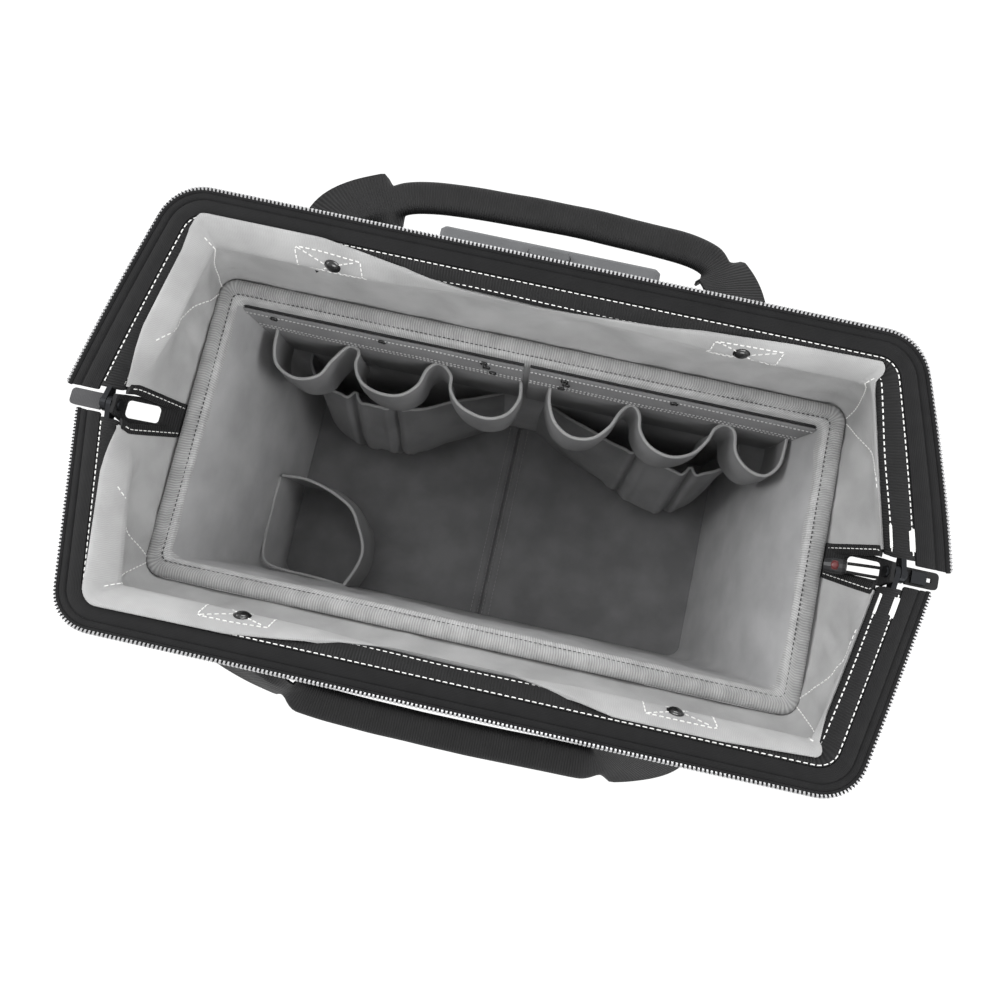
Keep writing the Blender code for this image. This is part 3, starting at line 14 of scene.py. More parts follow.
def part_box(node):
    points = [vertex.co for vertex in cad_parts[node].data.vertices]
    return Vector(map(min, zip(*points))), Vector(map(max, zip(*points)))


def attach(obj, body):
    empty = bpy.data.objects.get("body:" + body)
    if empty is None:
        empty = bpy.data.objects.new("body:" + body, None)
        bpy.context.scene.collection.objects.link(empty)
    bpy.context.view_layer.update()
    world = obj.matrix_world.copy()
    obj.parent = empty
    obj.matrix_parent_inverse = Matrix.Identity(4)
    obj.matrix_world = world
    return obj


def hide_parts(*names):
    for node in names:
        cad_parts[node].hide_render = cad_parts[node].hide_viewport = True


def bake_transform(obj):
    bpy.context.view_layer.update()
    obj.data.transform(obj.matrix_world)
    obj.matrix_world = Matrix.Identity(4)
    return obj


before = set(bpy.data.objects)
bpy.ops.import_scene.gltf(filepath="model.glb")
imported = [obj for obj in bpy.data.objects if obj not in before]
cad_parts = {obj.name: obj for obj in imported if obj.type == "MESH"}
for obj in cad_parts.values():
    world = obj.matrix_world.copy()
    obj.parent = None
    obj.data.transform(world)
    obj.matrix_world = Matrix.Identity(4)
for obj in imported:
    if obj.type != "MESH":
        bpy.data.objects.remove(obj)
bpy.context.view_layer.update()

# The tote, read from the frame
RIM_LOW, RIM_HIGH = (Vector(corner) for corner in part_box("rim_binding"))
RIM_Z = RIM_HIGH.z
BAG_Y = (RIM_LOW.y + RIM_HIGH.y) / 2
RIM_HALF_X = RIM_HIGH.x
RIM_HALF_Y = (RIM_HIGH.y - RIM_LOW.y) / 2
BINDING_DROP = RIM_HIGH.z - RIM_LOW.z
FLOOR_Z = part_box("floor_board")[1][2]
FOOT_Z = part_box("front_wall")[0][2]
BASE_HALF_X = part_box("base_tray")[1][0] - 0.0055
WALL = 0.013
CORNER = 0.022
RIM_CORNER = 0.0125
PROUD = 0.0015

# The mouth, as its CAD solids have it
PIN = (Vector(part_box("hinge_pin_right")[0]) + Vector(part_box("hinge_pin_right")[1])) / 2
HINGE_Y, HINGE_Z = PIN.y, PIN.z
OPEN_ANGLE = math.radians(18)
MOUTH_REACH = 0.152
MOUTH_HALF_X = 0.296
MOUTH_CORNER_X = 0.2437
MOUTH_CORNER_RADIUS = 0.034
ARM_SLOPE = (MOUTH_HALF_X - MOUTH_CORNER_X) / MOUTH_REACH
ARM_SECANT = math.hypot(1, ARM_SLOPE)
TEETH_WIDTH = 0.0035
TAPE_OUTER = 0.0038
TAPE_INNER = 0.0158
SLEEVE_OUTER = 0.0161
SLEEVE_INNER = 0.0311
WIRE_INSET = 0.0236
BAND_TOP = -0.0003
BAND_START = 0.0075
SLEEVE_START = 0.0105
RIVET_X = 0.139

# The photographer's stand
CAMERA_FROM_RIM = Vector((0.0161, -0.0724, 0.5397))
CAMERA_TURN = math.radians(12.34)
CAMERA_RISE = math.radians(83.05)
CAMERA_LENS = 26.42
SENSOR = 36

MM = 0.001
UP = Vector((0, 0, 1))
TINY = 1e-9
SAME = 1e-6


# Small helpers


def clamp(value, low=0, high=1):
    """The value, held between two limits."""
    return min(max(value, low), high)


def linear(colour):
    """An sRGB hex colour as linear light."""
    channels = [int(colour[i:i + 2], 16) / 255 for i in (1, 3, 5)]
    return (*[c / 12.92 if c <= 0.04045 else ((c + 0.055) / 1.055) ** 2.4 for c in channels], 1)


def mesh_object(name, points, faces, uvs=None):
    """A mesh object from points and faces, with one UV per point if they are given."""
    data = bpy.data.meshes.new(name)
    data.from_pydata([tuple(p) for p in points], [], faces)
    if uvs:
        layer = data.uv_layers.new(name="UVMap")
        for loop in data.loops:
            layer.data[loop.index].uv = uvs[loop.vertex_index]
    data.validate()
    obj = bpy.data.objects.new(name, data)
    bpy.context.collection.objects.link(obj)
    return obj


def apply(obj, kind, **settings):
    """Adds a modifier with these settings and applies it."""
    modifier = obj.modifiers.new(kind.lower(), kind)
    for key, value in settings.items():
        setattr(modifier, key, value)
    with bpy.context.temp_override(object=obj, active_object=obj, selected_objects=[obj]):
        bpy.ops.object.modifier_apply(modifier=modifier.name)
    return obj


def smooth(obj, degrees=60):
    """Shades it smooth, with edges sharper than this kept."""
    obj.data.shade_smooth()
    obj.data.set_sharp_from_angle(angle=math.radians(degrees))
    return obj


def dress(obj, material, body=None, replaces=()):
    """Gives a piece its material, the body it rides on and the nodes it stands for."""
    obj.data.materials.clear()
    obj.data.materials.append(material)
    if body:
        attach(obj, body)
    if replaces:
        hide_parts(*replaces)
    return obj


def face_out(obj):
    """Merges doubles and turns every face of a closed piece outwards."""
    mesh = bmesh.new()
    mesh.from_mesh(obj.data)
    bmesh.ops.remove_doubles(mesh, verts=mesh.verts, dist=SAME)
    bmesh.ops.recalc_face_normals(mesh, faces=mesh.faces)
    mesh.to_mesh(obj.data)
    mesh.free()
    return obj


def ruffle(point, size, height, seed=0.0):
    """Smooth noise of this height, with lumps about this size."""
    return height * noise.noise(Vector(point) / size + Vector((seed, 2.3 * seed, -seed)))


def lengths(points, closed=False):
    """Distance run along a path at each of its points."""
    run = [0.0]
    for before, after in zip(points, points[1:]):
        run.append(run[-1] + (after - before).length)
    if closed:
        run.append(run[-1] + (points[0] - points[-1]).length)
    return run


def loft(name, rows, across_closed=False, along_closed=False, caps=False):
    """A surface through rows of points. The UV runs in metres: U along a row, V from row to row."""
    count = len(rows[0])
    wrap = 1 if along_closed else 0
    points, uvs = [], []
    middle = lengths(rows[len(rows) // 2], closed=along_closed)
    rise = lengths([row[count // 2] for row in rows], closed=across_closed)
    total_rows = rows + rows[:1] if across_closed else rows
    for v, row in zip(rise, total_rows):
        for u, point in zip(middle, list(row) + ([row[0]] if wrap else [])):
            points.append(point)
            uvs.append((u, v))
    width = count + wrap
    faces = []
    for r in range(len(total_rows) - 1):
        for c in range(width - 1):
            first = r * width + c
            faces.append((first, first + 1, first + width + 1, first + width))
    obj = mesh_object(name, points, faces, uvs)
    mesh = bmesh.new()
    mesh.from_mesh(obj.data)
    bmesh.ops.remove_doubles(mesh, verts=mesh.verts, dist=1e-7)
    if caps:
        edges = [edge for edge in mesh.edges if edge.is_boundary]
        bmesh.ops.holes_fill(mesh, edges=edges, sides=0)
    bmesh.ops.recalc_face_normals(mesh, faces=mesh.faces)
    mesh.to_mesh(obj.data)
    mesh.free()
    return obj


def thicken(obj, thickness, offset=-1):
    """Gives a sheet its thickness."""
    return apply(obj, "SOLIDIFY", thickness=thickness, offset=offset, use_even_offset=False)


def cloth(name, rows, thickness, sharp=60):
    """A sheet of cloth of this thickness, through rows of points."""
    return smooth(thicken(loft(name, rows), thickness, 0), sharp)


def band(name, rows, sharp=60):
    """A solid strip, from rows that run along it at the corners of its section."""
    return smooth(loft(name, rows, across_closed=True, caps=True), sharp)


def cord(name, path, radius, **settings):
    """A smooth bead()."""
    return smooth(bead(name, path, radius, **settings))


def join(name, parts):
    """Makes one object of several."""
    for obj in bpy.context.selected_objects:
        obj.select_set(False)
    first = parts[0]
    chosen = {"selected_objects": parts, "selected_editable_objects": parts}
    with bpy.context.temp_override(object=first, active_object=first, **chosen):
        bpy.ops.object.join()
    first.name = name
    return first


def heading(path, index):
    """Which way a path runs at one of its points, not normalized."""
    return path[min(index + 1, len(path) - 1)] - path[max(index - 1, 0)]


def stretch(run, index, want):
    """Which stretch of a path this distance falls in, searched from this index on, and its share of it."""
    while index < len(run) - 2 and run[index + 1] < want:
        index += 1
    return index, (want - run[index]) / max(run[index + 1] - run[index], TINY)


def resample(points, spacing):
    """The same path with points this far apart."""
    run = lengths(points)
    count = max(2, round(run[-1] / spacing) + 1)
    out, index = [], 0
    for step in range(count):
        index, share = stretch(run, index, run[-1] * step / (count - 1))
        out.append(points[index].lerp(points[index + 1], clamp(share)))
    return out


def spline(points, per=6):
    """A smooth curve through points, with this many steps between each two."""
    guide = [2 * points[0] - points[1], *points, 2 * points[-1] - points[-2]]
    out = []
    for k in range(1, len(guide) - 2):
        before, start, end, after = guide[k - 1:k + 3]
        for step in range(per):
            t = step / per
            bend_in = (2 * before - 5 * start + 4 * end - after) * t ** 2
            bend_out = (3 * start - before - 3 * end + after) * t ** 3
            out.append(0.5 * (2 * start + (end - before) * t + bend_in + bend_out))
    return out + [points[-1]]


def between(stops, share):
    """A value that runs straight between (share, value) stops."""
    for (start, low), (end, high) in zip(stops, stops[1:]):
        if share <= end:
            return low + (high - low) * max(share - start, 0) / (end - start)
    return stops[-1][1]


def on_rows(rows, u, v):
    """The point at these shares along and up a surface made of rows, and its normal into the tote."""
    r, c = v * (len(rows) - 1), u * (len(rows[0]) - 1)
    r0, c0 = min(int(r), len(rows) - 2), min(int(c), len(rows[0]) - 2)
    a, b, d, e = rows[r0][c0], rows[r0][c0 + 1], rows[r0 + 1][c0], rows[r0 + 1][c0 + 1]
    point = a.lerp(b, c - c0).lerp(d.lerp(e, c - c0), r - r0)
    normal = (d - a).cross(b - a).normalized()
    inward = Vector((0, BAG_Y, point.z)) - point
    return point, normal if normal.dot(inward) > 0 else -normal


def standing(path, heights, push):
    """Rows of a strip of cloth that stands on a plan path. push(run, share up) moves it to its right."""
    run = lengths(path)
    rows = []
    for level, height in enumerate(heights):
        row = []
        for index, p in enumerate(path):
            along = heading(path, index).normalized()
            side = Vector((along.y, -along.x, 0))
            place = Vector((p.x, p.y, height(run[index] / run[-1]) if callable(height) else height))
            row.append(place + side * push(run[index], level / (len(heights) - 1)))
        rows.append(row)
    return rows


def plan(points, spacing=2.5 * MM):
    """A smooth plan curve through (x, y) points in millimetres from the tote's middle."""
    return resample(spline([Vector((x * MM, BAG_Y + y * MM, 0)) for x, y in points]), spacing)


STITCH_LENGTH = 2.9 * MM
STITCH_PITCH = 4.2 * MM
STITCH_WIDTH = 0.75 * MM
STITCH_HEIGHT = 0.35 * MM


def stitches(name, rows, length=STITCH_LENGTH, pitch=STITCH_PITCH, width=STITCH_WIDTH):
    """Sewn dashes along paths. Each row is (points, normals), with a normal at each point or one for all."""
    points, faces = [], []
    for path, normals in rows:
        single = isinstance(normals, Vector)
        run = lengths(path)
        start, index = pitch * 0.3, 0
        while start + length < run[-1]:
            ends = []
            for want in (start, start + length):
                index, share = stretch(run, index, want)
                normal = normals if single else normals[index]
                ends.append((path[index].lerp(path[index + 1], share), normal.normalized()))
            along = (ends[1][0] - ends[0][0]).normalized()
            first = len(points)
            for place, (end, normal) in enumerate(ends):
                side = normal.cross(along).normalized() * width / 2
                inward = along * (width / 2 if place == 0 else -width / 2)
                low, high = -normal * STITCH_HEIGHT, normal * STITCH_HEIGHT
                points += [end + low * 1.5 + side * 0.8, end + low * 1.5 - side * 0.8]
                points += [end + inward + high - side * 0.7, end + inward + high + side * 0.7]
            a, b = first, first + 4
            faces += [(a, a + 1, a + 2, a + 3), (b + 3, b + 2, b + 1, b)]
            faces += [(a + k, b + k, b + (k + 1) % 4, a + (k + 1) % 4) for k in range(4)]
            start += pitch
    return face_out(mesh_object(name, points, faces))


def bead(name, path, radius, sides=8, closed=False, normal=UP, flatten=1.0):
    """A round or flattened cord laid along a path."""
    rows = []
    for index, point in enumerate(path):
        before = path[index - 1] if index or closed else point
        after = path[(index + 1) % len(path)] if index < len(path) - 1 or closed else point
        forward = (after - before).normalized()
        side = forward.cross(normal)
        side = side.normalized() if side.length > SAME else Vector((1, 0, 0))
        up = side.cross(forward).normalized() * flatten
        turns = [math.tau * k / sides for k in range(sides)]
        rows.append([point + (side * math.cos(t) + up * math.sin(t)) * radius for t in turns])
    return loft(name, rows, along_closed=True, across_closed=closed, caps=not closed)


# Materials


def add_node(tree, kind, inputs=None, **settings):
    """Adds a shader node with its settings. An input is a value, or the output socket that feeds it."""
    made = tree.nodes.new(kind)
    for key, value in settings.items():
        setattr(made, key, value)
    for key, value in (inputs or {}).items():
        socket = made.inputs[key]
        if isinstance(value, bpy.types.NodeSocket):
            tree.links.new(value, socket)
        else:
            socket.default_value = value
    return made


def new_material(name, colour, roughness, metallic=0.0, **sockets):
    """A Principled material, and its tree and shader."""
    material = bpy.data.materials.new(name)
    material.use_nodes = True
    tree = material.node_tree
    shader = tree.nodes["Principled BSDF"]
    shader.inputs["Base Color"].default_value = linear(colour)
    shader.inputs["Roughness"].default_value = roughness
    shader.inputs["Metallic"].default_value = metallic
    for key, value in sockets.items():
        shader.inputs[key.replace("_", " ")].default_value = value
    return material, tree, shader


def maths(tree, operation, *values):
    """The output of a sum on these values or sockets."""
    return add_node(tree, "ShaderNodeMath", dict(enumerate(values)), operation=operation).outputs[0]


def coordinate(tree, kind="Object"):
    """Where a point lies: on the object in metres, or on its UV."""
    return add_node(tree, "ShaderNodeTexCoord").outputs[kind]


def vary(tree, light, dark, source, scale, detail=4.0):
    """Colour that wanders between two tones with the noise's scale."""
    patches = add_node(tree, "ShaderNodeTexNoise", {"Vector": source, "Scale": scale, "Detail": detail})
    ramp = add_node(tree, "ShaderNodeValToRGB", {"Fac": patches.outputs["Fac"]})
    for element, position, colour in zip(ramp.color_ramp.elements, (0.35, 0.65), (dark, light)):
        element.position = position
        element.color = linear(colour)
    return ramp.outputs["Color"]


def weave_height(tree, source, threads):
    """Over-and-under threads on a UV in metres, this many to the metre, as a height from 0 to 1."""
    split = add_node(tree, "ShaderNodeSeparateXYZ", {"Vector": source})
    waves = []
    for axis in ("X", "Y"):
        waves.append(maths(tree, "SINE", maths(tree, "MULTIPLY", split.outputs[axis], math.tau * threads)))
    return maths(tree, "MULTIPLY_ADD", maths(tree, "MULTIPLY", *waves), 0.5, 0.5)


def rib_height(tree, source, axis, pitch):
    """Ribs this far apart along one UV axis, as a height from 0 to 1."""
    split = add_node(tree, "ShaderNodeSeparateXYZ", {"Vector": source})
    wave = maths(tree, "SINE", maths(tree, "MULTIPLY", split.outputs[axis], math.tau / pitch))
    return maths(tree, "MULTIPLY_ADD", wave, 0.5, 0.5)


def paint_shade_in_hollows(tree, shader, colour, height, depth):
    """Painted shade: darkens the colour in the hollows of a height, to this share."""
    low = add_node(tree, "ShaderNodeMapRange", {"Value": height, "To Min": 1 - depth, "To Max": 1.0})
    sockets = {"Factor": 1.0, 6: colour, 7: low.outputs[0]}
    mixed = add_node(tree, "ShaderNodeMix", sockets, data_type="RGBA", blend_type="MULTIPLY")
    tree.links.new(mixed.outputs[2], shader.inputs["Base Color"])


def bump(tree, shader, height, distance, strength=1.0):
    """Raises the surface by a height from 0 to 1."""
    raised = add_node(tree, "ShaderNodeBump", {"Height": height, "Distance": distance, "Strength": strength})
    tree.links.new(raised.outputs["Normal"], shader.inputs["Normal"])


def flat_source(tree, on_solid):
    """Where a cloth's threads run: its own UV in metres, or on a solid its X and Z."""
    if not on_solid:
        return coordinate(tree, "UV")
    split = add_node(tree, "ShaderNodeSeparateXYZ", {"Vector": coordinate(tree)})
    swapped = {"X": split.outputs["Z"], "Y": split.outputs["X"]}
    return add_node(tree, "ShaderNodeCombineXYZ", swapped).outputs[0]


# depth is the share by which painted shade darkens the hollows between the threads
def threaded(name, looks, tones, height, depth, raised, strength):
    """A fabric whose tone wanders, with painted shade darkening it between its threads. height(tree) says how
    they stand.
    """
    light, dark, scale, detail = tones
    material, tree, shader = new_material(name, light, **looks)
    threads = height(tree)
    # Painted shade: the colour darkens in the hollows between the threads
    paint_shade_in_hollows(tree, shader, vary(tree, light, dark, coordinate(tree), scale, detail), threads, depth)
    bump(tree, shader, threads, raised, strength)
    return material


def woven(name, light, dark, depth=0.2, roughness=0.85, thread=1.1 * MM, sheen=0.15, on_solid=False):
    """Plain-woven polyester: over-and-under threads, and faint uneven tone from handling. Threads finer than
    a millimetre are drawn at about one, so that the weave still shows."""
    looks = {"roughness": roughness, "Sheen_Weight": sheen, "Sheen_Roughness": 0.5}

    def height(tree):
        return weave_height(tree, flat_source(tree, on_solid), 1 / thread)

    return threaded(name, looks, (light, dark, 28.0, 4.0), height, depth, 0.15 * MM, 0.6)


def ribbed(name, light, dark, pitch, roughness, depth, raised=0.3, axis="X", on_solid=False):
    """Ribbed narrow fabric, such as webbing and grosgrain: ribs across its length, this many millimetres
    apart, and a slightly fuzzy tone."""
    looks = {"roughness": roughness, "Sheen_Weight": 0.03, "Specular_IOR_Level": 0.2}

    def height(tree):
        return rib_height(tree, flat_source(tree, on_solid), axis, pitch * MM)

    return threaded(name, looks, (light, dark, 90.0, 3.0), height, depth, raised * MM, 0.8)


def moulded(name, light, dark, roughness, grain=900.0, raised=0.08, **sockets):
    """Injection-moulded plastic: an even colour, and the fine grain of a spark-eroded tool."""
    material, tree, shader = new_material(name, light, roughness, **sockets)
    place = coordinate(tree)
    tree.links.new(vary(tree, light, dark, place, 40.0), shader.inputs["Base Color"])
    grains = add_node(tree, "ShaderNodeTexNoise", {"Vector": place, "Scale": grain, "Detail": 2.0})
    bump(tree, shader, grains.outputs["Fac"], raised * MM, 0.5)
    return material


def metal(name, colour, roughness, streak=(1, 1, 1), **sockets):
    """Bright metal, with drawn or brushed marks along one axis."""
    material, tree, shader = new_material(name, colour, roughness, 1.0, **sockets)
    stretched = add_node(tree, "ShaderNodeMapping", {"Vector": coordinate(tree), "Scale": streak})
    grain = {"Vector": stretched.outputs[0], "Scale": 300.0, "Detail": 3.0}
    marks = add_node(tree, "ShaderNodeTexNoise", grain)
    limits = {"Value": marks.outputs["Fac"], "To Min": roughness * 0.8, "To Max": roughness * 1.25}
    spread = add_node(tree, "ShaderNodeMapRange", limits)
    tree.links.new(spread.outputs[0], shader.inputs["Roughness"])
    return material


def make_materials():
    """Every material by the name that the pieces use for it."""
    threads = {
        "thread": ("white", "#e4e4e2"), "pale thread": ("pale grey", "#c4c4c4"),
        "dark thread": ("dark grey", "#3c3c3c"), "mid thread": ("mid grey", "#9a9a9a"),
    }
    looks = {}
    for key, (tone, colour) in threads.items():
        looks[key] = new_material(f"{tone} polyester thread", colour, 0.6)[0]
    looks.update({
        "lining": woven("grey polyester lining", "#adadad", "#9c9c9c"),
        # The walls' lining is the same cloth as the skirts' lining. This copy is painted lighter, as painted
        # light, to make up for the little light that reaches the walls
        "wall": woven("grey polyester lining painted lighter for walls", "#b2b2b3", "#a2a2a3"),
        "pocket": woven("grey polyester pocket cloth", "#8a8a8b", "#7b7b7c", 0.16),
        "edge": woven("grey bound edge", "#b8b8b8", "#acacac", 0.16),
        "floor": woven("grey polyester floor cloth", "#878788", "#777778"),
        "shell": woven("coated ballistic polyester", "#242426", "#1c1c1e", 0.4, 0.7, 1.6 * MM, 0.04),
        "tab": woven("dark grey zip-end cloth", "#434345", "#39393b", on_solid=True),
        "strap solid": ribbed("black strap webbing", "#1a1a1b", "#131314", 1.9, 0.65, 0.5, on_solid=True),
        "binding": ribbed("grey grosgrain binding", "#c2c2c2", "#b2b2b2", 1.9, 0.85, 0.3),
        "webbing": ribbed("black polypropylene webbing", "#171718", "#101011", 1.9, 0.65, 0.55, 0.45),
        "strand": ribbed("black braided cord", "#202021", "#18181a", 1.5, 0.6, 0.4, 0.2, axis="Y"),
        "tape": ribbed("black knitted zip tape", "#161617", "#111112", 0.9, 0.8, 0.3, 0.1, axis="Y"),
        "teeth": new_material("plated zip tooth", "#a9a9aa", 0.35, 0.7)[0],
        "steel": metal("zinc-plated steel", "#b4b6b8", 0.3),
        "dark steel": metal("black-coated spring steel", "#2c2d2f", 0.4),
        "alloy": metal("drawn anodised aluminium", "#b9bcbf", 0.32, (30, 30, 1)),
        "hook tape": moulded("black hook tape", "#2a2a2b", "#161617", 0.9, 1400.0, 0.8),
        "moulding": moulded("grained black polypropylene", "#1f1f21", "#19191b", 0.5),
        "hub": moulded("grey moulded nylon", "#6f7072", "#68696b", 0.45),
        "hub grey": moulded("dark grey moulded button", "#515254", "#4a4b4d", 0.5),
        "rubber": moulded("black tyre rubber", "#171717", "#121213", 0.85, 500.0, 0.15),
        "rivet": moulded("black enamelled steel", "#131313", "#0e0e0e", 0.22, 200.0, 0.01, Coat_Weight=0.5),
        "accent": moulded("dark red moulded tip", "#5e1a1c", "#541618", 0.4),
        "grip": moulded("grey soft-touch rubber", "#5c5d5f", "#555658", 0.6, 700.0, 0.06),
    })
    return looks


# The mouth's outline


def mouth_line(inset, start, arm=30, arc=9, bar=90):
    """One half of the mouth, flat, from the right-hand hinge round to the left, this far inside the teeth."""
    def on_arm(reach):
        return MOUTH_HALF_X - reach * ARM_SLOPE - inset * ARM_SECANT

    top = MOUTH_REACH - inset
    corner = Vector((on_arm(top), top, 0))
    foot = Vector((on_arm(start), start, 0))
    radius = max(MOUTH_CORNER_RADIUS - inset, 0.004)
    down, level = (foot - corner).normalized(), Vector((-1, 0, 0))
    half = down.angle(level) / 2
    centre = corner + (down + level).normalized() * radius / math.sin(half)
    first = corner + down * radius / math.tan(half)
    last = corner + level * radius / math.tan(half)
    sweep = math.pi - 2 * half
    right = [foot.lerp(first, k / arm) for k in range(arm)]
    for k in range(arc):
        share = k / arc
        weight = math.sin((1 - share) * sweep), math.sin(share * sweep)
        right.append(centre + ((first - centre) * weight[0] + (last - centre) * weight[1]) / math.sin(sweep))
    left = [Vector((-p.x, p.y, 0)) for p in reversed(right)]
    far = Vector((-last.x, last.y, 0))
    middle = [last.lerp(far, k / bar) for k in range(bar + 1)]
    return right + middle + left


SIDES = {"front": math.pi, "back": 0.0}


def half_frame(side):
    """From a half's own flat frame to the row frame, at rest."""
    turn = Matrix.Rotation(SIDES[side], 4, "Z") @ Matrix.Rotation(OPEN_ANGLE, 4, "X")
    return Matrix.Translation((0, HINGE_Y, HINGE_Z)) @ turn


# How far each half's arms stand out at the hinge: at its first hinge and at its last
ARM_BOW = {"front": (0, 3 * MM), "back": (15 * MM, 12 * MM)}
BOW_AT_SLEEVE = 0.1


def bowed(side, point, inset):
    """The cloth over the wires doesn't run as straight as they do: its arms stand out, most at the teeth."""
    first, last = ARM_BOW[side]
    bow = first if point.x > 0 else last
    fade = 1 - (1 - BOW_AT_SLEEVE) * min(inset / SLEEVE_INNER, 1)
    reach = clamp(point.y / (MOUTH_REACH - inset))
    return point + Vector((math.copysign(bow * fade * (1 - reach ** 1.6), point.x), 0, 0))


def on_mouth(side, inset, height, start):
    """Points along the mouth in the row frame. Inset and height may be functions of the share run."""
    to_row = half_frame(side)
    lines = {}
    points = []
    count = len(mouth_line(0, start))
    for index in range(count):
        share = index / (count - 1)
        amount = inset(share) if callable(inset) else inset
        rise = height(share) if callable(height) else height
        key = round(amount, 5)
        if key not in lines:
            lines[key] = mouth_line(amount, start)
        points.append(to_row @ (bowed(side, lines[key][index], amount) + UP * rise))
    return points


def mouth_up(side):
    """Which way a half's face looks, at rest."""
    return half_frame(side).to_3x3() @ UP


# How far the lining laps over the sleeve in millimetres, by share of the way from the half's first hinge
LAP = {
    "back": [(0, 0), (0.17, 0), (0.195, 2), (0.225, 9), (0.3, 8), (0.4, 3), (0.5, 0), (0.56, 1), (0.6, 4),
             (0.64, 9), (0.675, 13), (0.78, 13), (0.8, 9), (0.84, 6), (0.93, 6), (1, 2)],
    "front": [(0, 2), (0.06, 8), (0.15, 10), (0.22, 13), (0.33, 12), (0.37, 8), (0.41, 3), (0.45, 0),
              (0.54, 0), (0.58, 4), (0.62, 10), (0.7, 10), (0.77, 7), (0.81, 2), (0.85, 0), (1, 0)],
}
# A lap this wide covers the sleeve's edge fully. The edge is folded under by this share of the lap
FULL_LAP = 6 * MM
HIDDEN_SLEEVE = 0.75


def lap(side, share):
    """How far the lining laps over the sleeve at this share of the way round."""
    return between(LAP[side], share) * MM


def lapped(side, share):
    """0 where the lining meets the sleeve flush, and 1 where it is well over it."""
    return min(lap(side, share) / FULL_LAP, 1)


def add_sleeve(side, looks):
    """The webbing sleeve: a plump fold of ribbed webbing, sewn down along both edges."""
    seed = 3.0 if side == "front" else 8.0

    def wander(amount):
        """The inner edge runs unevenly, and is folded under where the lining laps over it."""
        def place(share):
            most = SLEEVE_INNER - HIDDEN_SLEEVE * lap(side, share)
            return min(amount, most) + ruffle((share * 9, 0, 0), 1.0, 1.6 * MM, seed)
        return place

    def lowered(height, amount):
        return lambda share: height - amount * lapped(side, share)

    def line(inset, height, drop, start):
        """A line along the sleeve. Outside the wire it runs true, and inside it wanders and drops."""
        if inset < WIRE_INSET:
            return on_mouth(side, inset, height, start)
        return on_mouth(side, wander(inset), lowered(height, drop), start)

    top, low = BAND_TOP, BAND_TOP - 8 * MM
    middle = (top + low) / 2
    section = [
        (SLEEVE_OUTER, middle), (SLEEVE_OUTER + 0.8 * MM, top - 1.6 * MM),
        (SLEEVE_OUTER + 3 * MM, top - 0.4 * MM), (WIRE_INSET, top), (SLEEVE_INNER - 3 * MM, top - 0.6 * MM),
        (SLEEVE_INNER - 0.6 * MM, top - 2.2 * MM), (SLEEVE_INNER, middle - 1 * MM),
        (SLEEVE_INNER - 2 * MM, low + 1 * MM), (WIRE_INSET, low), (SLEEVE_OUTER + 2 * MM, low + 1 * MM),
    ]
    rows = [line(inset, height, 1.4 * MM, SLEEVE_START) for inset, height in section]
    obj = band(f"wire_sleeve_{side}_webbing", rows)
    dress(obj, looks["webbing"], f"mouth_{side}", [f"wire_sleeve_{side}"])

    sewn = ((SLEEVE_OUTER + 2.4 * MM, top - 0.35 * MM), (SLEEVE_INNER - 2.6 * MM, top - 0.6 * MM))
    seams = [(line(inset, height, 4 * MM, SLEEVE_START + 2 * MM), mouth_up(side)) for inset, height in sewn]
    dress(stitches(f"wire_sleeve_{side}_stitches", seams), looks["thread"], f"mouth_{side}")


def add_tape(side, looks):
    """The zip tape: flat, with the raised cord line that holds the teeth and a groove where it is sewn."""
    high, low = BAND_TOP - 0.9 * MM, BAND_TOP - 3.2 * MM
    groove = TAPE_OUTER + 4.4 * MM
    section = [
        (TAPE_OUTER, high - 0.6 * MM), (TAPE_OUTER + 0.6 * MM, high), (TAPE_OUTER + 3.2 * MM, high),
        (groove - 0.7 * MM, high - 0.2 * MM), (groove, high - 0.9 * MM), (groove + 0.7 * MM, high - 0.2 * MM),
        (TAPE_INNER - 3 * MM, high + 0.1 * MM), (TAPE_INNER + 1.2 * MM, high), (TAPE_INNER + 1.2 * MM, low),
        (TAPE_OUTER, low),
    ]
    rows = [on_mouth(side, inset, height, BAND_START) for inset, height in section]
    obj = band(f"zip_tape_{side}_cloth", rows, 50)
    dress(obj, looks["tape"], f"mouth_{side}", [f"zip_tape_{side}"])


TOOTH_PITCH = 2.6 * MM
TOOTH_LENGTH = 1.5 * MM
TOOTH_DEPTH = 3.4 * MM
TOOTH_REACH = 2.4 * MM
CORNERS = [(1, 1), (-1, 1), (-1, -1), (1, -1)]
# A tooth from its foot to its tip: share of the way, and how slim and how flat it is there
TOOTH_SECTION = [(0, 0.8, 0.8), (0.55, 0.8, 1.0), (1, 1.0, 0.75)]


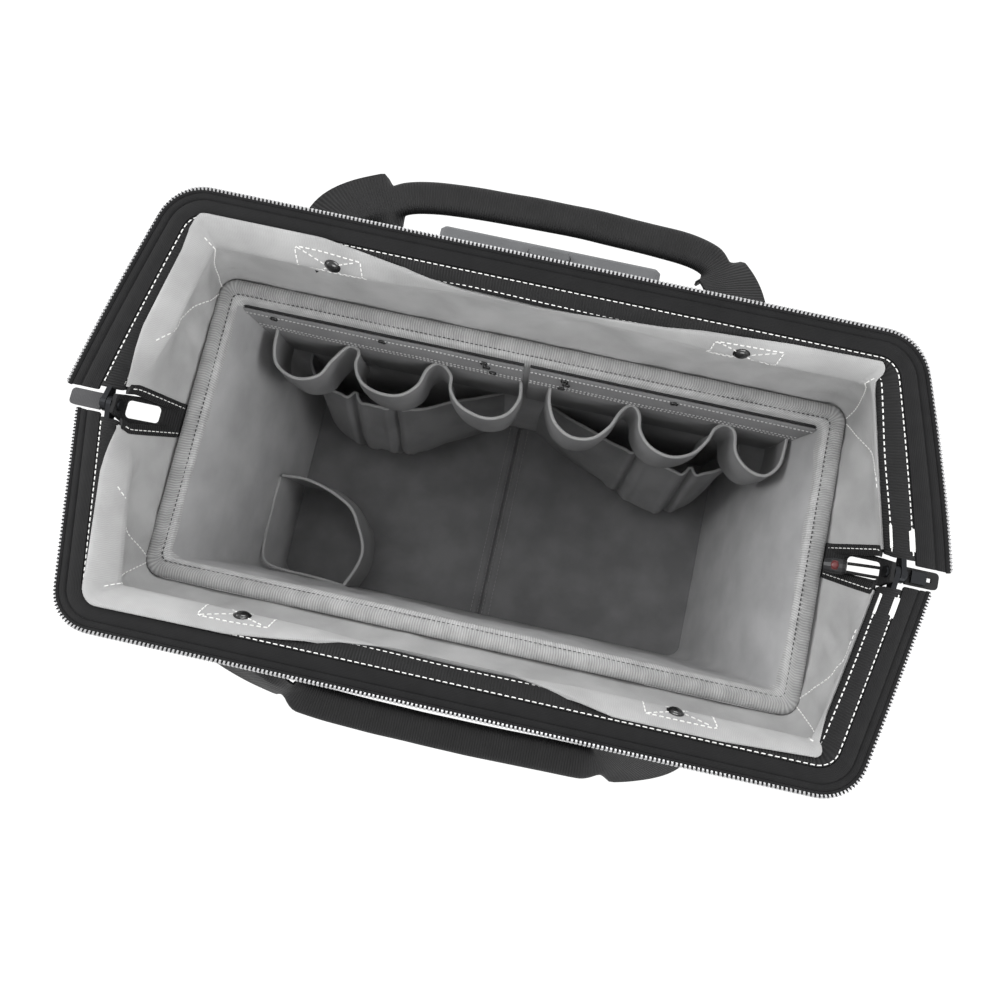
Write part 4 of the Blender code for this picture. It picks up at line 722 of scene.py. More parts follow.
def add_teeth(side, looks):
    """The chain: one moulded tooth after another, clamped round the tape's corded edge."""
    up = mouth_up(side)
    edge = resample(on_mouth(side, 0.4 * MM, BAND_TOP - TOOTH_DEPTH / 2, BAND_START), TOOTH_PITCH)
    points, faces = [], []
    for index in range(1, len(edge) - 1):
        along = (edge[index + 1] - edge[index - 1]).normalized() * TOOTH_LENGTH / 2
        tip = edge[index]
        base = tip + up.cross(along).normalized() * TOOTH_REACH
        deep = up * TOOTH_DEPTH / 2
        first = len(points)
        for share, slim, flat in TOOTH_SECTION:
            place = base.lerp(tip, share)
            points += [place + along * slim * a + deep * flat * b for a, b in CORNERS]
        faces.append((first, first + 1, first + 2, first + 3))
        faces.append((first + 11, first + 10, first + 9, first + 8))
        for step in (first, first + 4):
            faces += [(step + k, step + 4 + k, step + 4 + (k + 1) % 4, step + (k + 1) % 4) for k in range(4)]
    chain = face_out(mesh_object(f"zip_teeth_{side}_chain", points, faces))
    dress(chain, looks["teeth"], f"mouth_{side}", [f"zip_teeth_{side}"])
    core = on_mouth(side, TEETH_WIDTH - 0.9 * MM, BAND_TOP - TOOTH_DEPTH / 2, BAND_START)
    beading = cord(f"zip_teeth_{side}_cord", core, 1.75 * MM, normal=up, flatten=0.85)
    dress(beading, looks["tape"], f"mouth_{side}")


# The tote


def rounded(half_x, half_y, radius, straight=26, arc=8):
    """A rounded rectangle, anticlockwise from above, with the same number of points for any size."""
    corners = [(1, 1, 0), (-1, 1, 90), (-1, -1, 180), (1, -1, 270)]
    arcs = []
    for side_x, side_y, start in corners:
        centre = Vector((side_x * (half_x - radius), side_y * (half_y - radius), 0))
        turns = [math.radians(start + 90 * k / arc) for k in range(arc + 1)]
        arcs.append([centre + radius * Vector((math.cos(t), math.sin(t), 0)) for t in turns])
    loop = []
    for index, points in enumerate(arcs):
        after = arcs[(index + 1) % 4][0]
        count = straight * 2 if index in (0, 2) else straight
        loop += points
        loop += [points[-1].lerp(after, k / count) for k in range(1, count)]
    return loop


def wall_half_x(height):
    """Half the tote's length over its walls at this height."""
    share = (height - FOOT_Z) / (RIM_Z - FOOT_Z)
    return BASE_HALF_X + (RIM_HALF_X - PROUD - BASE_HALF_X) * share


def corner_at(height):
    """The walls' corner radius: full at the tray, and drawn in tight under the binding."""
    share = (height - FOOT_Z) / (RIM_Z - FOOT_Z)
    return CORNER + (RIM_CORNER - CORNER) * clamp(share)


def ring(height, inset, swell=None):
    """A closed row round the tote's walls, this far inside their outer face."""
    radius = max(corner_at(height) - inset * 0.6, 0.004)
    loop = rounded(wall_half_x(height) - inset, RIM_HALF_Y - PROUD - inset, radius)
    centre = Vector((0, BAG_Y, height))
    if not swell:
        return [p + centre for p in loop]
    out = []
    for index, p in enumerate(loop):
        along = (loop[(index + 1) % len(loop)] - loop[index - 1]).normalized()
        way = Vector((along.y, -along.x, 0))
        out.append(p + centre + way * swell(p + centre))
    return out


def add_shell(looks):
    """The outside of the tote: coated cloth over foam, a little full between its piped corners."""
    def swell(p):
        rise = math.sin(math.pi * clamp((p.z - FOOT_Z) / (RIM_Z - FOOT_Z)))
        return 0.8 * MM * rise + ruffle(p, 0.07, 0.9 * MM, 4.0) * rise

    heights = [FOOT_Z + (RIM_Z - 3 * MM - FOOT_Z) * k / 24 for k in range(25)]
    rows = [ring(z, 0, swell) for z in heights] + [ring(z, 6 * MM) for z in reversed(heights)]
    obj = smooth(loft("tote_shell", rows, across_closed=True, along_closed=True))
    dress(obj, looks["shell"], "bag", ["front_wall", "back_wall", "end_wall_left", "end_wall_right"])


def add_lining(looks):
    """The inside of the tote: lining cloth over the foam, slack enough to dimple."""
    def slack(p):
        depth = clamp((RIM_Z - p.z) / (RIM_Z - FLOOR_Z))
        lumps = ruffle(p, 0.09, 3.4 * MM, 1.5) + ruffle((p.x, p.y, p.z * 0.35), 0.025, 2.4 * MM, 6.5)
        return (lumps - 2 * MM) * math.sin(math.pi * min(depth * 1.15 + 0.05, 1)) - 0.4 * MM

    low, high = FLOOR_Z - 3 * MM, RIM_Z - 5 * MM
    heights = [low + (high - low) * k / 44 for k in range(45)]
    inner = [ring(z, WALL, slack) for z in heights]
    outer = [ring(z, 7 * MM) for z in reversed(heights)]
    obj = smooth(loft("tote_lining", inner + outer, across_closed=True, along_closed=True))
    # The walls wear the copy of the lining cloth that is painted lighter, as painted light
    dress(obj, looks["wall"], "bag")


POCKET_CORNER = 16 * MM
# The pocket's section from its wall to its middle: share of its depth, and millimetres in from its edge
POCKET_SECTION = [
    (0, 0), (0.45, 0), (0.7, 0.8), (0.85, 2.6), (0.93, 6), (0.97, 12), (0.99, 22), (1, 34), (1, 50), (1, 66),
]


def add_front_pocket(looks):
    """The padded pocket on the front: full in its middle, with piping round its edge."""
    low, high = (Vector(corner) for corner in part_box("front_pocket"))
    middle, half_x, half_z = (low + high) / 2, (high.x - low.x) / 2, (high.z - low.z) / 2

    def outline(inset, radius, out, full=0.0):
        """A line round the pocket: this far inside its edge, at this share of its depth, with such lumps."""
        loop = rounded(half_x - inset, half_z - inset, radius)
        depths = [(high.y - low.y) * out + ruffle((p.x, p.y, 0), 0.05, 1.4 * MM, 3.0) * full for p in loop]
        return [Vector((middle.x + p.x, high.y - y, middle.z + p.y)) for p, y in zip(loop, depths)]

    rows = []
    for out, inset in POCKET_SECTION:
        inset *= MM
        rows.append(outline(inset, max(POCKET_CORNER - inset, 3 * MM), out, min(inset / (20 * MM), 1)))
    obj = smooth(loft("front_pocket_cloth", rows, along_closed=True, caps=True))
    dress(obj, looks["shell"], "bag", ["front_pocket"])
    edge = outline(0.3 * MM, POCKET_CORNER, 0.62)
    piping = cord("front_pocket_piping", edge, 1.6 * MM, closed=True, normal=Vector((0, 1, 0)))
    dress(piping, looks["webbing"], "bag")


BINDING_SEAM = 12.6 * MM
BINDING_ARCH = 5 * MM
TIGHT_CORNER = 5 * MM


def add_binding(looks):
    """Ribbed grosgrain folded over the top of the walls, with a row of stitches."""
    def waver(p):
        return ruffle(p, 0.03, 0.8 * MM, 2.0)

    width, foot = WALL + 2 * PROUD, RIM_Z - BINDING_DROP
    section = [(0, foot)]
    for k in range(17):
        turn = math.pi * k / 16
        inset = width / 2 - width / 2 * math.copysign(abs(math.cos(turn)) ** 0.7, math.cos(turn))
        section.append((inset, RIM_Z - BINDING_ARCH + BINDING_ARCH * math.sin(turn) ** 0.8))
    section.append((width, foot))
    loops = []
    for inset, height in section:
        loop = rounded(RIM_HALF_X - inset, RIM_HALF_Y - inset, max(RIM_CORNER + PROUD - inset, TIGHT_CORNER))
        loop = [p + Vector((0, BAG_Y, height)) for p in loop]
        loops.append([p + UP * waver(p) * min((height - foot) / BINDING_DROP, 1) for p in loop])
    obj = smooth(loft("rim_binding_tape", loops, across_closed=True, along_closed=True))
    dress(obj, looks["binding"], "bag", ["rim_binding"])
    seam = rounded(RIM_HALF_X - BINDING_SEAM, RIM_HALF_Y - BINDING_SEAM, TIGHT_CORNER)
    seam = [p + Vector((0, BAG_Y, RIM_Z - 0.1 * MM + waver(p))) for p in seam + seam[:1]]
    thread = stitches("rim_binding_stitches", [(seam, UP)], 2.2 * MM, 3.6 * MM, 0.6 * MM)
    dress(thread, looks["dark thread"], "bag")


def add_floor(looks):
    """The floor cloth over its board: two panels that meet at a sewn middle seam."""
    half_x, half_y = wall_half_x(FLOOR_Z) - WALL - 0.6 * MM, RIM_HALF_Y - PROUD - WALL - 0.6 * MM

    def sag(x, y):
        return ruffle((x, y, 0), 0.06, 1.6 * MM, 3.0)

    rows = []
    for j in range(61):
        y = half_y * (j / 30 - 1)
        row = []
        for x in (half_x * (k / 60 - 1) for k in range(121)):
            welt = 1.3 * MM * math.exp(-(((abs(x) - 5 * MM) / (3.2 * MM)) ** 2))
            seam = -4 * MM * math.exp(-((x / (1.3 * MM)) ** 2))
            lumps = sag(x, y) + ruffle((x, y, 0), 0.018, 0.5 * MM, 1.0)
            row.append(Vector((x, BAG_Y + y, FLOOR_Z + 0.2 * MM + welt + seam + lumps)))
        rows.append(row)
    obj = smooth(thicken(loft("floor_cloth", rows), 2.5 * MM))
    dress(obj, looks["floor"], "bag", ["floor_board"])
    seams = []
    for x in (-9.5 * MM, -2.4 * MM, 2.4 * MM, 9.5 * MM):
        run = [half_y * (k / 20 - 1) for k in range(41)]
        seams.append(([Vector((x, BAG_Y + y, FLOOR_Z + 0.9 * MM + sag(x, y))) for y in run], UP))
    dress(stitches("floor_stitches", seams), looks["mid thread"], "bag")


# The skirts

# How far from the hinge line the end slits begin, at the rim and at the mouth
SLIT_FOOT = 0.0105
SLIT_TOP = 0.0135
SKIRT_ROWS = 22
SKIRT_CLOTH = 1.2 * MM
SKIRT_BULGE = {"front": 9 * MM, "back": 6.5 * MM}
SKIRT_SEED = {"front": 12.0, "back": 5.0}
CREASE = 8 * MM
ROLL_ROWS = 9
END_FADE = 50 * MM


def rim_line(side, out, arm=30, arc=9, bar=90):
    """Half of the rim from above, matched point for point to the mouth's line."""
    half_x, half_y = RIM_HALF_X + out, RIM_HALF_Y + out
    radius = RIM_CORNER + PROUD + out
    centre = Vector((half_x - radius, half_y - radius, 0))
    foot, shoulder = Vector((half_x, SLIT_FOOT, 0)), Vector((half_x, half_y - radius, 0))
    turns = [math.pi / 2 * k / arc for k in range(arc)]
    right = [foot.lerp(shoulder, k / arm) for k in range(arm)]
    right += [centre + radius * Vector((math.cos(t), math.sin(t), 0)) for t in turns]
    left = [Vector((-p.x, p.y, 0)) for p in reversed(right)]
    start, end = Vector((half_x - radius, half_y, 0)), Vector((radius - half_x, half_y, 0))
    line = right + [start.lerp(end, k / bar) for k in range(bar + 1)] + left
    turn = Matrix.Rotation(SIDES[side], 3, "Z")
    return [turn @ p + Vector((0, BAG_Y, 0)) for p in line]


def outward(side):
    """The level way out from the rim at each point of its line."""
    return [(wide - narrow).normalized() for wide, narrow in zip(rim_line(side, 2 * MM), rim_line(side, 0))]


def skirt_rows(side):
    """The lining from the crease outside the binding up to the sleeve, as rows of points. Where it laps over
    the sleeve it rolls over the inner edge, and elsewhere it tucks in behind it."""
    def line(insets, heights, over):
        """A line near the sleeve's inner edge. Both pairs are millimetres, for a flush edge and for a lapped
        one. It lies this share of the lap over the sleeve."""
        def roll(flush, full, share):
            return (flush + (full - flush) * lapped(side, share)) * MM

        def inset(share):
            return SLEEVE_INNER + roll(*insets, share) - lap(side, share) * over

        return on_mouth(side, inset, lambda share: BAND_TOP + roll(*heights, share), SLIT_TOP)

    low = [p + UP * (RIM_Z - CREASE) for p in rim_line(side, 0.9 * MM)]
    high = line((0.6, 4), (-7, -13), 0)
    knee = line((0.8, 0), (-5, 0.4), 0.42)
    edge = line((1, -0.6), (-3.5, 0.9), 1)
    tuck = line((-3, -0.8), (-8.6, 0.3), 1)
    ways = outward(side)
    seed, run = SKIRT_SEED[side], lengths(high)
    rows = []
    for step in range(SKIRT_ROWS + 1):
        share = step / SKIRT_ROWS
        row = []
        for bottom, top, way, along in zip(low, high, ways, run):
            end = min(min(along, run[-1] - along) / END_FADE, 1)
            swell = SKIRT_BULGE[side] * math.sin(math.pi * share ** 1.2) * end
            pucker = ruffle((along, share * 0.05, 0), 0.034, 4.5 * MM, seed)
            crease = abs(noise.noise(Vector((along / 0.03 + share * 1.3, share * 1.6 + seed, 0))))
            pucker += 5 * MM * (0.25 - min(crease, 0.25))
            pucker += ruffle((along + share * 0.03, share * 0.02, 0), 0.013, 1.6 * MM, seed + 4)
            pucker *= math.sin(math.pi * share) ** 0.6 * end
            row.append(bottom.lerp(top, share) + way * (swell + pucker))
        rows.append(row)
    for step in range(1, ROLL_ROWS + 1):
        t = step / ROLL_ROWS
        rows.append([p * (1 - t) ** 2 + q * 2 * t * (1 - t) + r * t * t for p, q, r in zip(high, knee, edge)])
    return rows + [tuck]


def bend(obj):
    """Bakes the piece's placement into its mesh."""
    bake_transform(obj)


def sewn_line(rows, stops, steps=24, lift=SKIRT_CLOTH / 2 + 0.1 * MM):
    """A line of thread over a surface through (share along, share up) stops, as stitches() takes it."""
    points, normals = [], []
    for (u0, v0), (u1, v1) in zip(stops, stops[1:]):
        for k in range(steps):
            point, normal = on_rows(rows, u0 + (u1 - u0) * k / steps, v0 + (v1 - v0) * k / steps)
            points.append(point + normal * lift)
            normals.append(normal)
    return points, normals


def share_at(row, x):
    """The share along a row at which it passes this X on its long side."""
    middle = [index for index, p in enumerate(row) if abs(p.x) < RIM_HALF_X - 0.03]
    index = min(middle, key=lambda index: abs(row[index].x - x))
    step = row[index + 1].x - row[index].x
    return (index + (x - row[index].x) / step) / (len(row) - 1)


def patch_line(rows, stops, steps=12):
    """sewn_line() through (X, share up) stops, so that an upright line of thread stays upright."""
    shares = []
    for (x0, v0), (x1, v1) in zip(stops, stops[1:]):
        for k in range(steps + 1):
            x, v = x0 + (x1 - x0) * k / steps, v0 + (v1 - v0) * k / steps
            shares.append((share_at(rows[round(v * (len(rows) - 1))], x), v))
    return sewn_line(rows, shares, 2)


# The mitre seams: from the rim's corner to where each ends under the sleeve, as shares along and up
MITRES = {
    "back": [((0.19, 0.04), (0.205, 0.98)), ((0.182, 0.04), (0.06, 0.95)),
             ((0.81, 0.04), (0.8, 0.98)), ((0.822, 0.04), (0.95, 0.96))],
    "front": [((0.19, 0.04), (0.2, 0.98)), ((0.182, 0.04), (0.063, 0.96)),
              ((0.81, 0.04), (0.8, 0.98)), ((0.822, 0.04), (0.96, 0.96))],
}
# The stitched boxes at the rivets, as shares up the skirt
PATCH_LOW, PATCH_HIGH = 0.68, 0.97
PATCH_HALF = 22 * MM
RIVET_RADIUS = 4.6 * MM
RIVET_HEIGHT = 2.2 * MM
RIVET_RISE = 0.84
# A rivet's head from its flange to its crown: share of its radius and of its height
RIVET_SECTION = [(1.2, -0.3), (1.2, 0.1), (1.02, 0.2), (0.94, 0.55), (0.75, 0.83), (0.42, 1.0), (0.06, 1.04)]
# The outer fabric: out from the rim and down over the binding, and where it meets the wire
SHELL_OUT = 2.1 * MM
SHELL_HEM = 10 * MM
SHELL_INSET = 22.1 * MM
SHELL_TOP = -9.1 * MM
SHELL_BULGE = {"front": 16.5 * MM, "back": 11.7 * MM}
SHELL_CLOTH = 1 * MM
SHELL_GAP = 2.2 * MM


def dome(name, centre, normal, radius, height):
    """A rivet's head: a thin flange with a low dome on it."""
    side = normal.orthogonal().normalized()
    across = normal.cross(side)
    turns = [math.tau * k / 20 for k in range(20)]
    ways = [side * math.cos(t) + across * math.sin(t) for t in turns]
    rows = []
    for reach, lift in RIVET_SECTION:
        rows.append([centre + way * radius * reach + normal * height * lift for way in ways])
    return smooth(loft(name, rows, along_closed=True, caps=True), 50)


def add_skirt_shell(side, lining, looks):
    """The outer fabric over the lining, from the binding up to the wire. It bellies out, and stays clear of
    the lining where that one puckers."""
    foot = rim_line(side, SHELL_OUT)
    low = [p + UP * RIM_Z for p in foot]
    high = on_mouth(side, SHELL_INSET, SHELL_TOP, SLIT_TOP)
    ways = outward(side)
    rows = [[p + UP * (RIM_Z - SHELL_HEM) for p in foot]]
    for step, level in enumerate(lining[:SKIRT_ROWS + 1]):
        share = step / SKIRT_ROWS
        swell = SHELL_BULGE[side] * math.sin(math.pi * share ** 1.6)
        under, over = lining[max(step - 1, 0)], lining[step + 1]
        row = []
        for index, (bottom, top, inner, way) in enumerate(zip(low, high, level, ways)):
            out = (over[index] - under[index]).cross(heading(level, index)).normalized()
            out *= math.copysign(1, out.dot(way))
            place = bottom.lerp(top, share) + way * swell
            row.append(place + out * max(SHELL_GAP - (place - inner).dot(out), 0))
        rows.append(row)
    obj = cloth(f"mouth_shell_{side}", rows, SHELL_CLOTH, 70)
    size = lengths(rows[len(rows) // 2])[-1], lengths([row[len(row) // 2] for row in rows])[-1]
    dress(obj, looks["shell"])
    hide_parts(f"mouth_skirt_{side}")
    bend(obj)


def add_skirt(side, looks):
    """One half of the mouth's lining, with its mitre seams and the box stitches that hold the handles."""
    rows = skirt_rows(side)
    obj = cloth(f"mouth_lining_{side}", rows, SKIRT_CLOTH, 70)
    width = lengths(rows[SKIRT_ROWS // 2])[-1]
    height = lengths([row[len(row) // 2] for row in rows])[-1]
    dress(obj, looks["lining"])
    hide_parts(f"mouth_skirt_{side}")
    bend(obj)

    add_skirt_shell(side, rows, looks)
    body = rows[:SKIRT_ROWS + ROLL_ROWS - 2]
    seams = [sewn_line(body, stops) for stops in MITRES[side]]
    level = body[int(SKIRT_ROWS * 0.7)]
    for letter, x in (("a", -RIVET_X), ("b", RIVET_X)):
        near, far = x - PATCH_HALF, x + PATCH_HALF
        corners = [(near, PATCH_LOW), (near, PATCH_HIGH), (far, PATCH_HIGH), (far, PATCH_LOW)]
        crosses = [corners[::2], corners[1::2]]
        seams += [patch_line(body, stops) for stops in [corners + corners[:1], *crosses]]
        place, normal = on_rows(body, share_at(level, x), RIVET_RISE)
        place += normal * SKIRT_CLOTH / 2
        head = dome(f"rivet_{side}_{letter}_head", place, normal, RIVET_RADIUS, RIVET_HEIGHT)
        solid = letter if side == "back" else {"a": "b", "b": "a"}[letter]
        dress(head, looks["rivet"], f"mouth_{side}", [f"rivet_{side}_{solid}"])
    thread = stitches(f"mouth_lining_{side}_stitches", seams, 3.2 * MM, 4.2 * MM, 0.95 * MM)
    dress(thread, looks["thread"])
    bend(thread)
    return rows


# A slit binding's section in millimetres: out past the lining's edge, and into the tote
SLIT_SECTION = [
    (-2.2, 0.4), (-1.6, 1.5), (0, 1.9), (3.2, 1.7), (5.4, 0.9), (5.4, -0.6), (3.2, -1.2), (0, -1.4),
    (-1.6, -0.8),
]


def add_slit_bindings(side, rows, looks):
    """The black bound edges of the lining at each end slit, with a row of white stitches."""
    for place, column, nearby in (("first", 0, 1), ("last", -1, -2)):
        path, beside = (resample([row[c] for row in rows[2:-3]], 3 * MM) for c in (column, nearby))
        ways = [Vector(((p.x - q.x) * 0.3, p.y - q.y, 0)).normalized() for p, q in zip(path, beside)]
        inward = Vector((-math.copysign(1, path[0].x), 0, 0.35)).normalized()
        strip = [[p + (way * a + inward * b) * MM for p, way in zip(path, ways)] for a, b in SLIT_SECTION]
        obj = band(f"slit_binding_{side}_{place}", strip, 50)
        dress(obj, looks["webbing"])
        bend(obj)
        seam = [p + (way * 1.4 + inward * 2) * MM for p, way in zip(path, ways)]
        thread = stitches(f"slit_stitches_{side}_{place}", [(seam, inward)])
        dress(thread, looks["thread"])
        bend(thread)


# Inside the tote

LOOP_FOOT, LOOP_TOP = 0.182, 0.230
HEADER_TOP = 0.268
LOOP_CLOTH = 1.6 * MM
# Plan curves of the tool loops, in millimetres from the tote's middle: out from the back wall and back to it
LOOPS = {
    "left": [
        (-211, 97.6), (-210, 82), (-203, 68), (-186, 61), (-168, 67), (-160, 82), (-152, 95), (-146, 97.4),
        (-140, 94), (-140, 82), (-132, 69), (-116, 63), (-98, 65), (-86, 76), (-82, 90), (-76, 97), (-69, 97),
        (-61, 90), (-58, 78), (-46, 66), (-27, 61), (-10, 67), (-2, 82), (-3, 97.6),
    ],
    "right": [
        (21, 97.6), (23, 84), (32, 69), (47, 61), (64, 64), (76, 76), (81, 89), (87, 97), (93, 97), (98, 90),
        (101, 78), (112, 66), (129, 62), (146, 68), (156, 81), (160, 92), (166, 97), (172, 97), (177, 92),
        (181, 77), (193, 65), (207, 63), (217, 74), (219, 88), (219, 97.6),
    ],
}
# The pouches under them: X in millimetres, and share of the full depth
POUCHES = {
    "left": [(-197, 0), (-196, 0.3), (-186, 0.66), (-166, 0.92), (-140, 1), (-108, 0.96), (-80, 0.72),
             (-48, 0.36), (-18, 0)],
    "right": [(18, 0), (50, 0.34), (88, 0.66), (122, 0.92), (152, 1.04), (176, 0.9), (192, 0.6),
              (198, 0.28), (199, 0)],
}
PLEATS = {"left": (-150, -112), "right": (112, 160)}
PLEAT_HALF = 3.2 * MM
POUCH_DEPTH = [(0, 50 * MM), (0.35, 63 * MM), (1, 36 * MM)]
POUCH_TOP = 0.168
POUCH_CLOTH = 1.8 * MM
WALL_FACE = 101.6 * MM
# Small black eyelets in the panels: X in millimetres, and height
EYELETS = {
    "left": [(-204, 0.261), (-116, 0.261), (-34, 0.261), (-32, 0.252), (-27, 0.241)],
    "right": [(31, 0.258), (33, 0.249), (30, 0.238), (118, 0.261)],
}
# The panel's section: Y in millimetres from the tote's middle, height, and how far it sways in millimetres
HEADER_SECTION = [
    (97.6, LOOP_FOOT, 0), (97.4, 0.205, 0.4), (97.2, 0.235, 0.7), (97.4, 0.255, 0.6),
    (97.8, HEADER_TOP - 1.2 * MM, 0.4), (98.6, HEADER_TOP, 0.3), (99.6, HEADER_TOP - 1 * MM, 0.3),
    (100.4, 0.245, 0.2), (101, 0.21, 0), (101, LOOP_FOOT, 0),
]
HOOK_SECTION = [
    (99.9, HEADER_TOP - 9 * MM, 0), (99.8, HEADER_TOP + 1.2 * MM, 0.6),
    (101.2, HEADER_TOP + 1.4 * MM, 0.6), (101.4, HEADER_TOP - 9 * MM, 0),
]


def bound_edge(name, path, looks, radius=1.35 * MM):
    """The bound top edge of a piece of pocket cloth."""
    dress(cord(name, path, radius), looks["edge"], "bag")


def add_header(side, looks):
    """The stiffened panel that the tool loops are sewn to, held to the wall by hook tape along its top."""
    sign = 1 if side == "right" else -1

    def line(y, z, wave):
        """A line along the panel, from the middle seam to the end wall."""
        far = wall_half_x(z) - WALL - 2.2 * MM
        points = []
        for k in range(81):
            x = sign * (2.5 * MM + (far - 2.5 * MM) * k / 80)
            sway = ruffle((x, z, 0), 0.05, wave * MM, 9.0)
            points.append(Vector((x, BAG_Y + y * MM + sway, z + ruffle((x, 0, 0), 0.08, 0.8 * MM, 2.0))))
        return points

    panel = band(f"loop_header_{side}", [line(*corner) for corner in HEADER_SECTION])
    dress(panel, looks["pocket"], "bag", [f"tool_loops_{side}"])
    hook = band(f"hook_tape_{side}", [line(*corner) for corner in HOOK_SECTION], 50)
    dress(hook, looks["hook tape"], "bag")
    out = Vector((0, -1, 0))
    levels = (LOOP_TOP + 5 * MM, LOOP_TOP + 10 * MM, HEADER_TOP - 5 * MM)
    seams = [([p + out * 0.25 * MM for p in line(97.1, z, 0.6)], out) for z in levels]
    thread = stitches(f"loop_header_{side}_stitches", seams, 2 * MM, 3.2 * MM, 0.5 * MM)
    dress(thread, looks["pale thread"], "bag")
    turns = [math.tau * k / 18 for k in range(18)]
    hoop = [2.6 * MM * Vector((math.cos(t), 0, math.sin(t))) for t in turns]
    rings = []
    for x, z in EYELETS[side]:
        middle = Vector((x * MM, BAG_Y + 96.6 * MM, z))
        rings.append(bead("eyelet", [middle + p for p in hoop], 0.75 * MM, 6, closed=True, normal=out))
    dress(smooth(join(f"loop_header_{side}_eyelets", rings)), looks["rivet"], "bag")


def add_loops(side, looks):
    """One strip of cloth sewn down between the tools, so that it stands out in loops with a bound edge."""
    def top(share):
        return LOOP_TOP + 1.6 * MM * noise.noise(Vector((share * 9, 2, 0)))

    def belly(run, up):
        return 1.6 * MM * math.sin(math.pi * up) + ruffle((run, up * 0.02, 0), 0.03, 1.2 * MM, 5.0) * up

    rows = standing(plan(LOOPS[side]), [LOOP_FOOT, 0.194, 0.206, 0.218, top], belly)
    obj = cloth(f"loop_strip_{side}", rows, LOOP_CLOTH)
    lengths(rows[2])[-1]
    dress(obj, looks["pocket"], "bag")
    bound_edge(f"loop_edge_{side}", rows[-1], looks)


def add_pouch(side, looks):
    """A pleated pouch that bellies out over the floor."""
    # Full depth stands for 60 mm, so that the curve's points come evenly
    across = resample(spline([Vector((x * MM, depth * 0.06, 0)) for x, depth in POUCHES[side]]), 2.5 * MM)
    rows = []
    heights = [FLOOR_Z + 1 * MM + (POUCH_TOP - FLOOR_Z) * k / 16 for k in range(17)]
    for level, z in enumerate(heights):
        up = level / 16
        depth = between(POUCH_DEPTH, up)
        row = []
        for p in across:
            out = max(p.y / 0.06, 0) * depth
            for fold in PLEATS[side]:
                away = (p.x - fold * MM) / PLEAT_HALF
                out -= 7 * MM * math.exp(-away * away) * (0.55 + 0.45 * up)
                out += 2.2 * MM * math.exp(-((abs(away) - 2.4) ** 2)) * (1 - 0.4 * up)
            out += ruffle((p.x, z, 0), 0.035, 3.2 * MM, 7.0) * min(out / 0.02, 1)
            row.append(Vector((p.x, BAG_Y + WALL_FACE - max(out, 0), z)))
        rows.append(row)
    obj = cloth(f"pouch_{side}_cloth", rows, POUCH_CLOTH)
    lengths(rows[6])[-1]
    dress(obj, looks["pocket"], "bag", [f"pouch_{side}"])
    bound_edge(f"pouch_edge_{side}", rows[-1], looks)


CORNER_TOP = 0.1146
# Plan curves of the corner pocket, in millimetres: its cloth, and its edge along the walls
CORNER_LINE = [
    (-214, -10), (-194, -9), (-170, -12), (-147, -23), (-129, -42), (-122, -64), (-124, -84), (-131, -101.4),
]
CORNER_BACK = [(-131, -101), (-160, -99), (-190, -98.5), (-207, -96), (-214, -86), (-216, -60), (-216, -12)]


def add_corner_pocket(looks):
    """A slack pocket across the front left corner, with a bound edge."""
    def top(share):
        waver = 1.2 * MM * noise.noise(Vector((share * 6, 0, 0)))
        return CORNER_TOP - 3 * MM * math.sin(math.pi * share) + waver

    heights = [FLOOR_Z + 1 * MM + (CORNER_TOP - FLOOR_Z - 4 * MM) * k / 8 for k in range(8)] + [top]
    rows = standing(plan(CORNER_LINE), heights, lambda run, up: 0)
    for level, row in enumerate(rows):
        up = level / (len(rows) - 1)
        for index, p in enumerate(row):
            near_end = clamp((-p.x - 0.16) / 0.055)
            lumps = ruffle((p.x, p.y, p.z * 0.5), 0.03, 3 * MM, 2.5) * min(index, len(row) - 1 - index, 8) / 8
            row[index] = p + Vector(((1 - up) * 6 * MM * near_end + lumps, lumps, 0))
    obj = cloth("corner_pocket_cloth", rows, POUCH_CLOTH)
    lengths(rows[4])[-1]
    dress(obj, looks["pocket"], "bag", ["corner_pocket"])
    bound_edge("corner_pocket_edge", rows[-1], looks, 1.5 * MM)
    back = [p + UP * (CORNER_TOP - 1 * MM) for p in plan(CORNER_BACK)]
    bound_edge("corner_pocket_back_edge", back, looks, 1.4 * MM)


# Carry handles

HANDLE_DROOP = {"front": math.radians(57), "back": math.radians(15)}
# How far from each end the webbing is gathered into the grip, and how far the grip is turned face up
FOLD_FROM = {"front": (0.080, 0.074), "back": (0.060, 0.078)}
GRIP_TWIST = {"front": math.radians(42), "back": math.radians(8)}
HANDLE_WEB = 46 * MM
WEB_THICK = 1.7 * MM
FOLD_HALF = 8.6 * MM
FOLD_RADIUS = 3.2 * MM
ANCHOR_OUT, ANCHOR_DROP = 0.1378, 0.004
# How far the flat webbing leans, the length of a flat sewn foot, and the length in which the fold closes
HANDLE_LEAN = math.radians(9)
FOOT_LENGTH = 0.025
FOLD_LENGTH = 0.016
# Half of a handle from its foot to its middle, as (X, reach): the plain end, the slack end and the grip
PLAIN_END = [
    (0.1395, -0.001), (0.1395, 0.012), (0.137, 0.032), (0.129, 0.050), (0.116, 0.063), (0.100, 0.069),
]
SLACK_END = [
    (0.1395, -0.0015), (0.149, 0.009), (0.1545, 0.021), (0.151, 0.036), (0.138, 0.049), (0.118, 0.060),
    (0.100, 0.067),
]
GRIP_LINE = [(0.075, 0.0712), (0.03, 0.0735), (-0.02, 0.0735), (-0.07, 0.0712)]


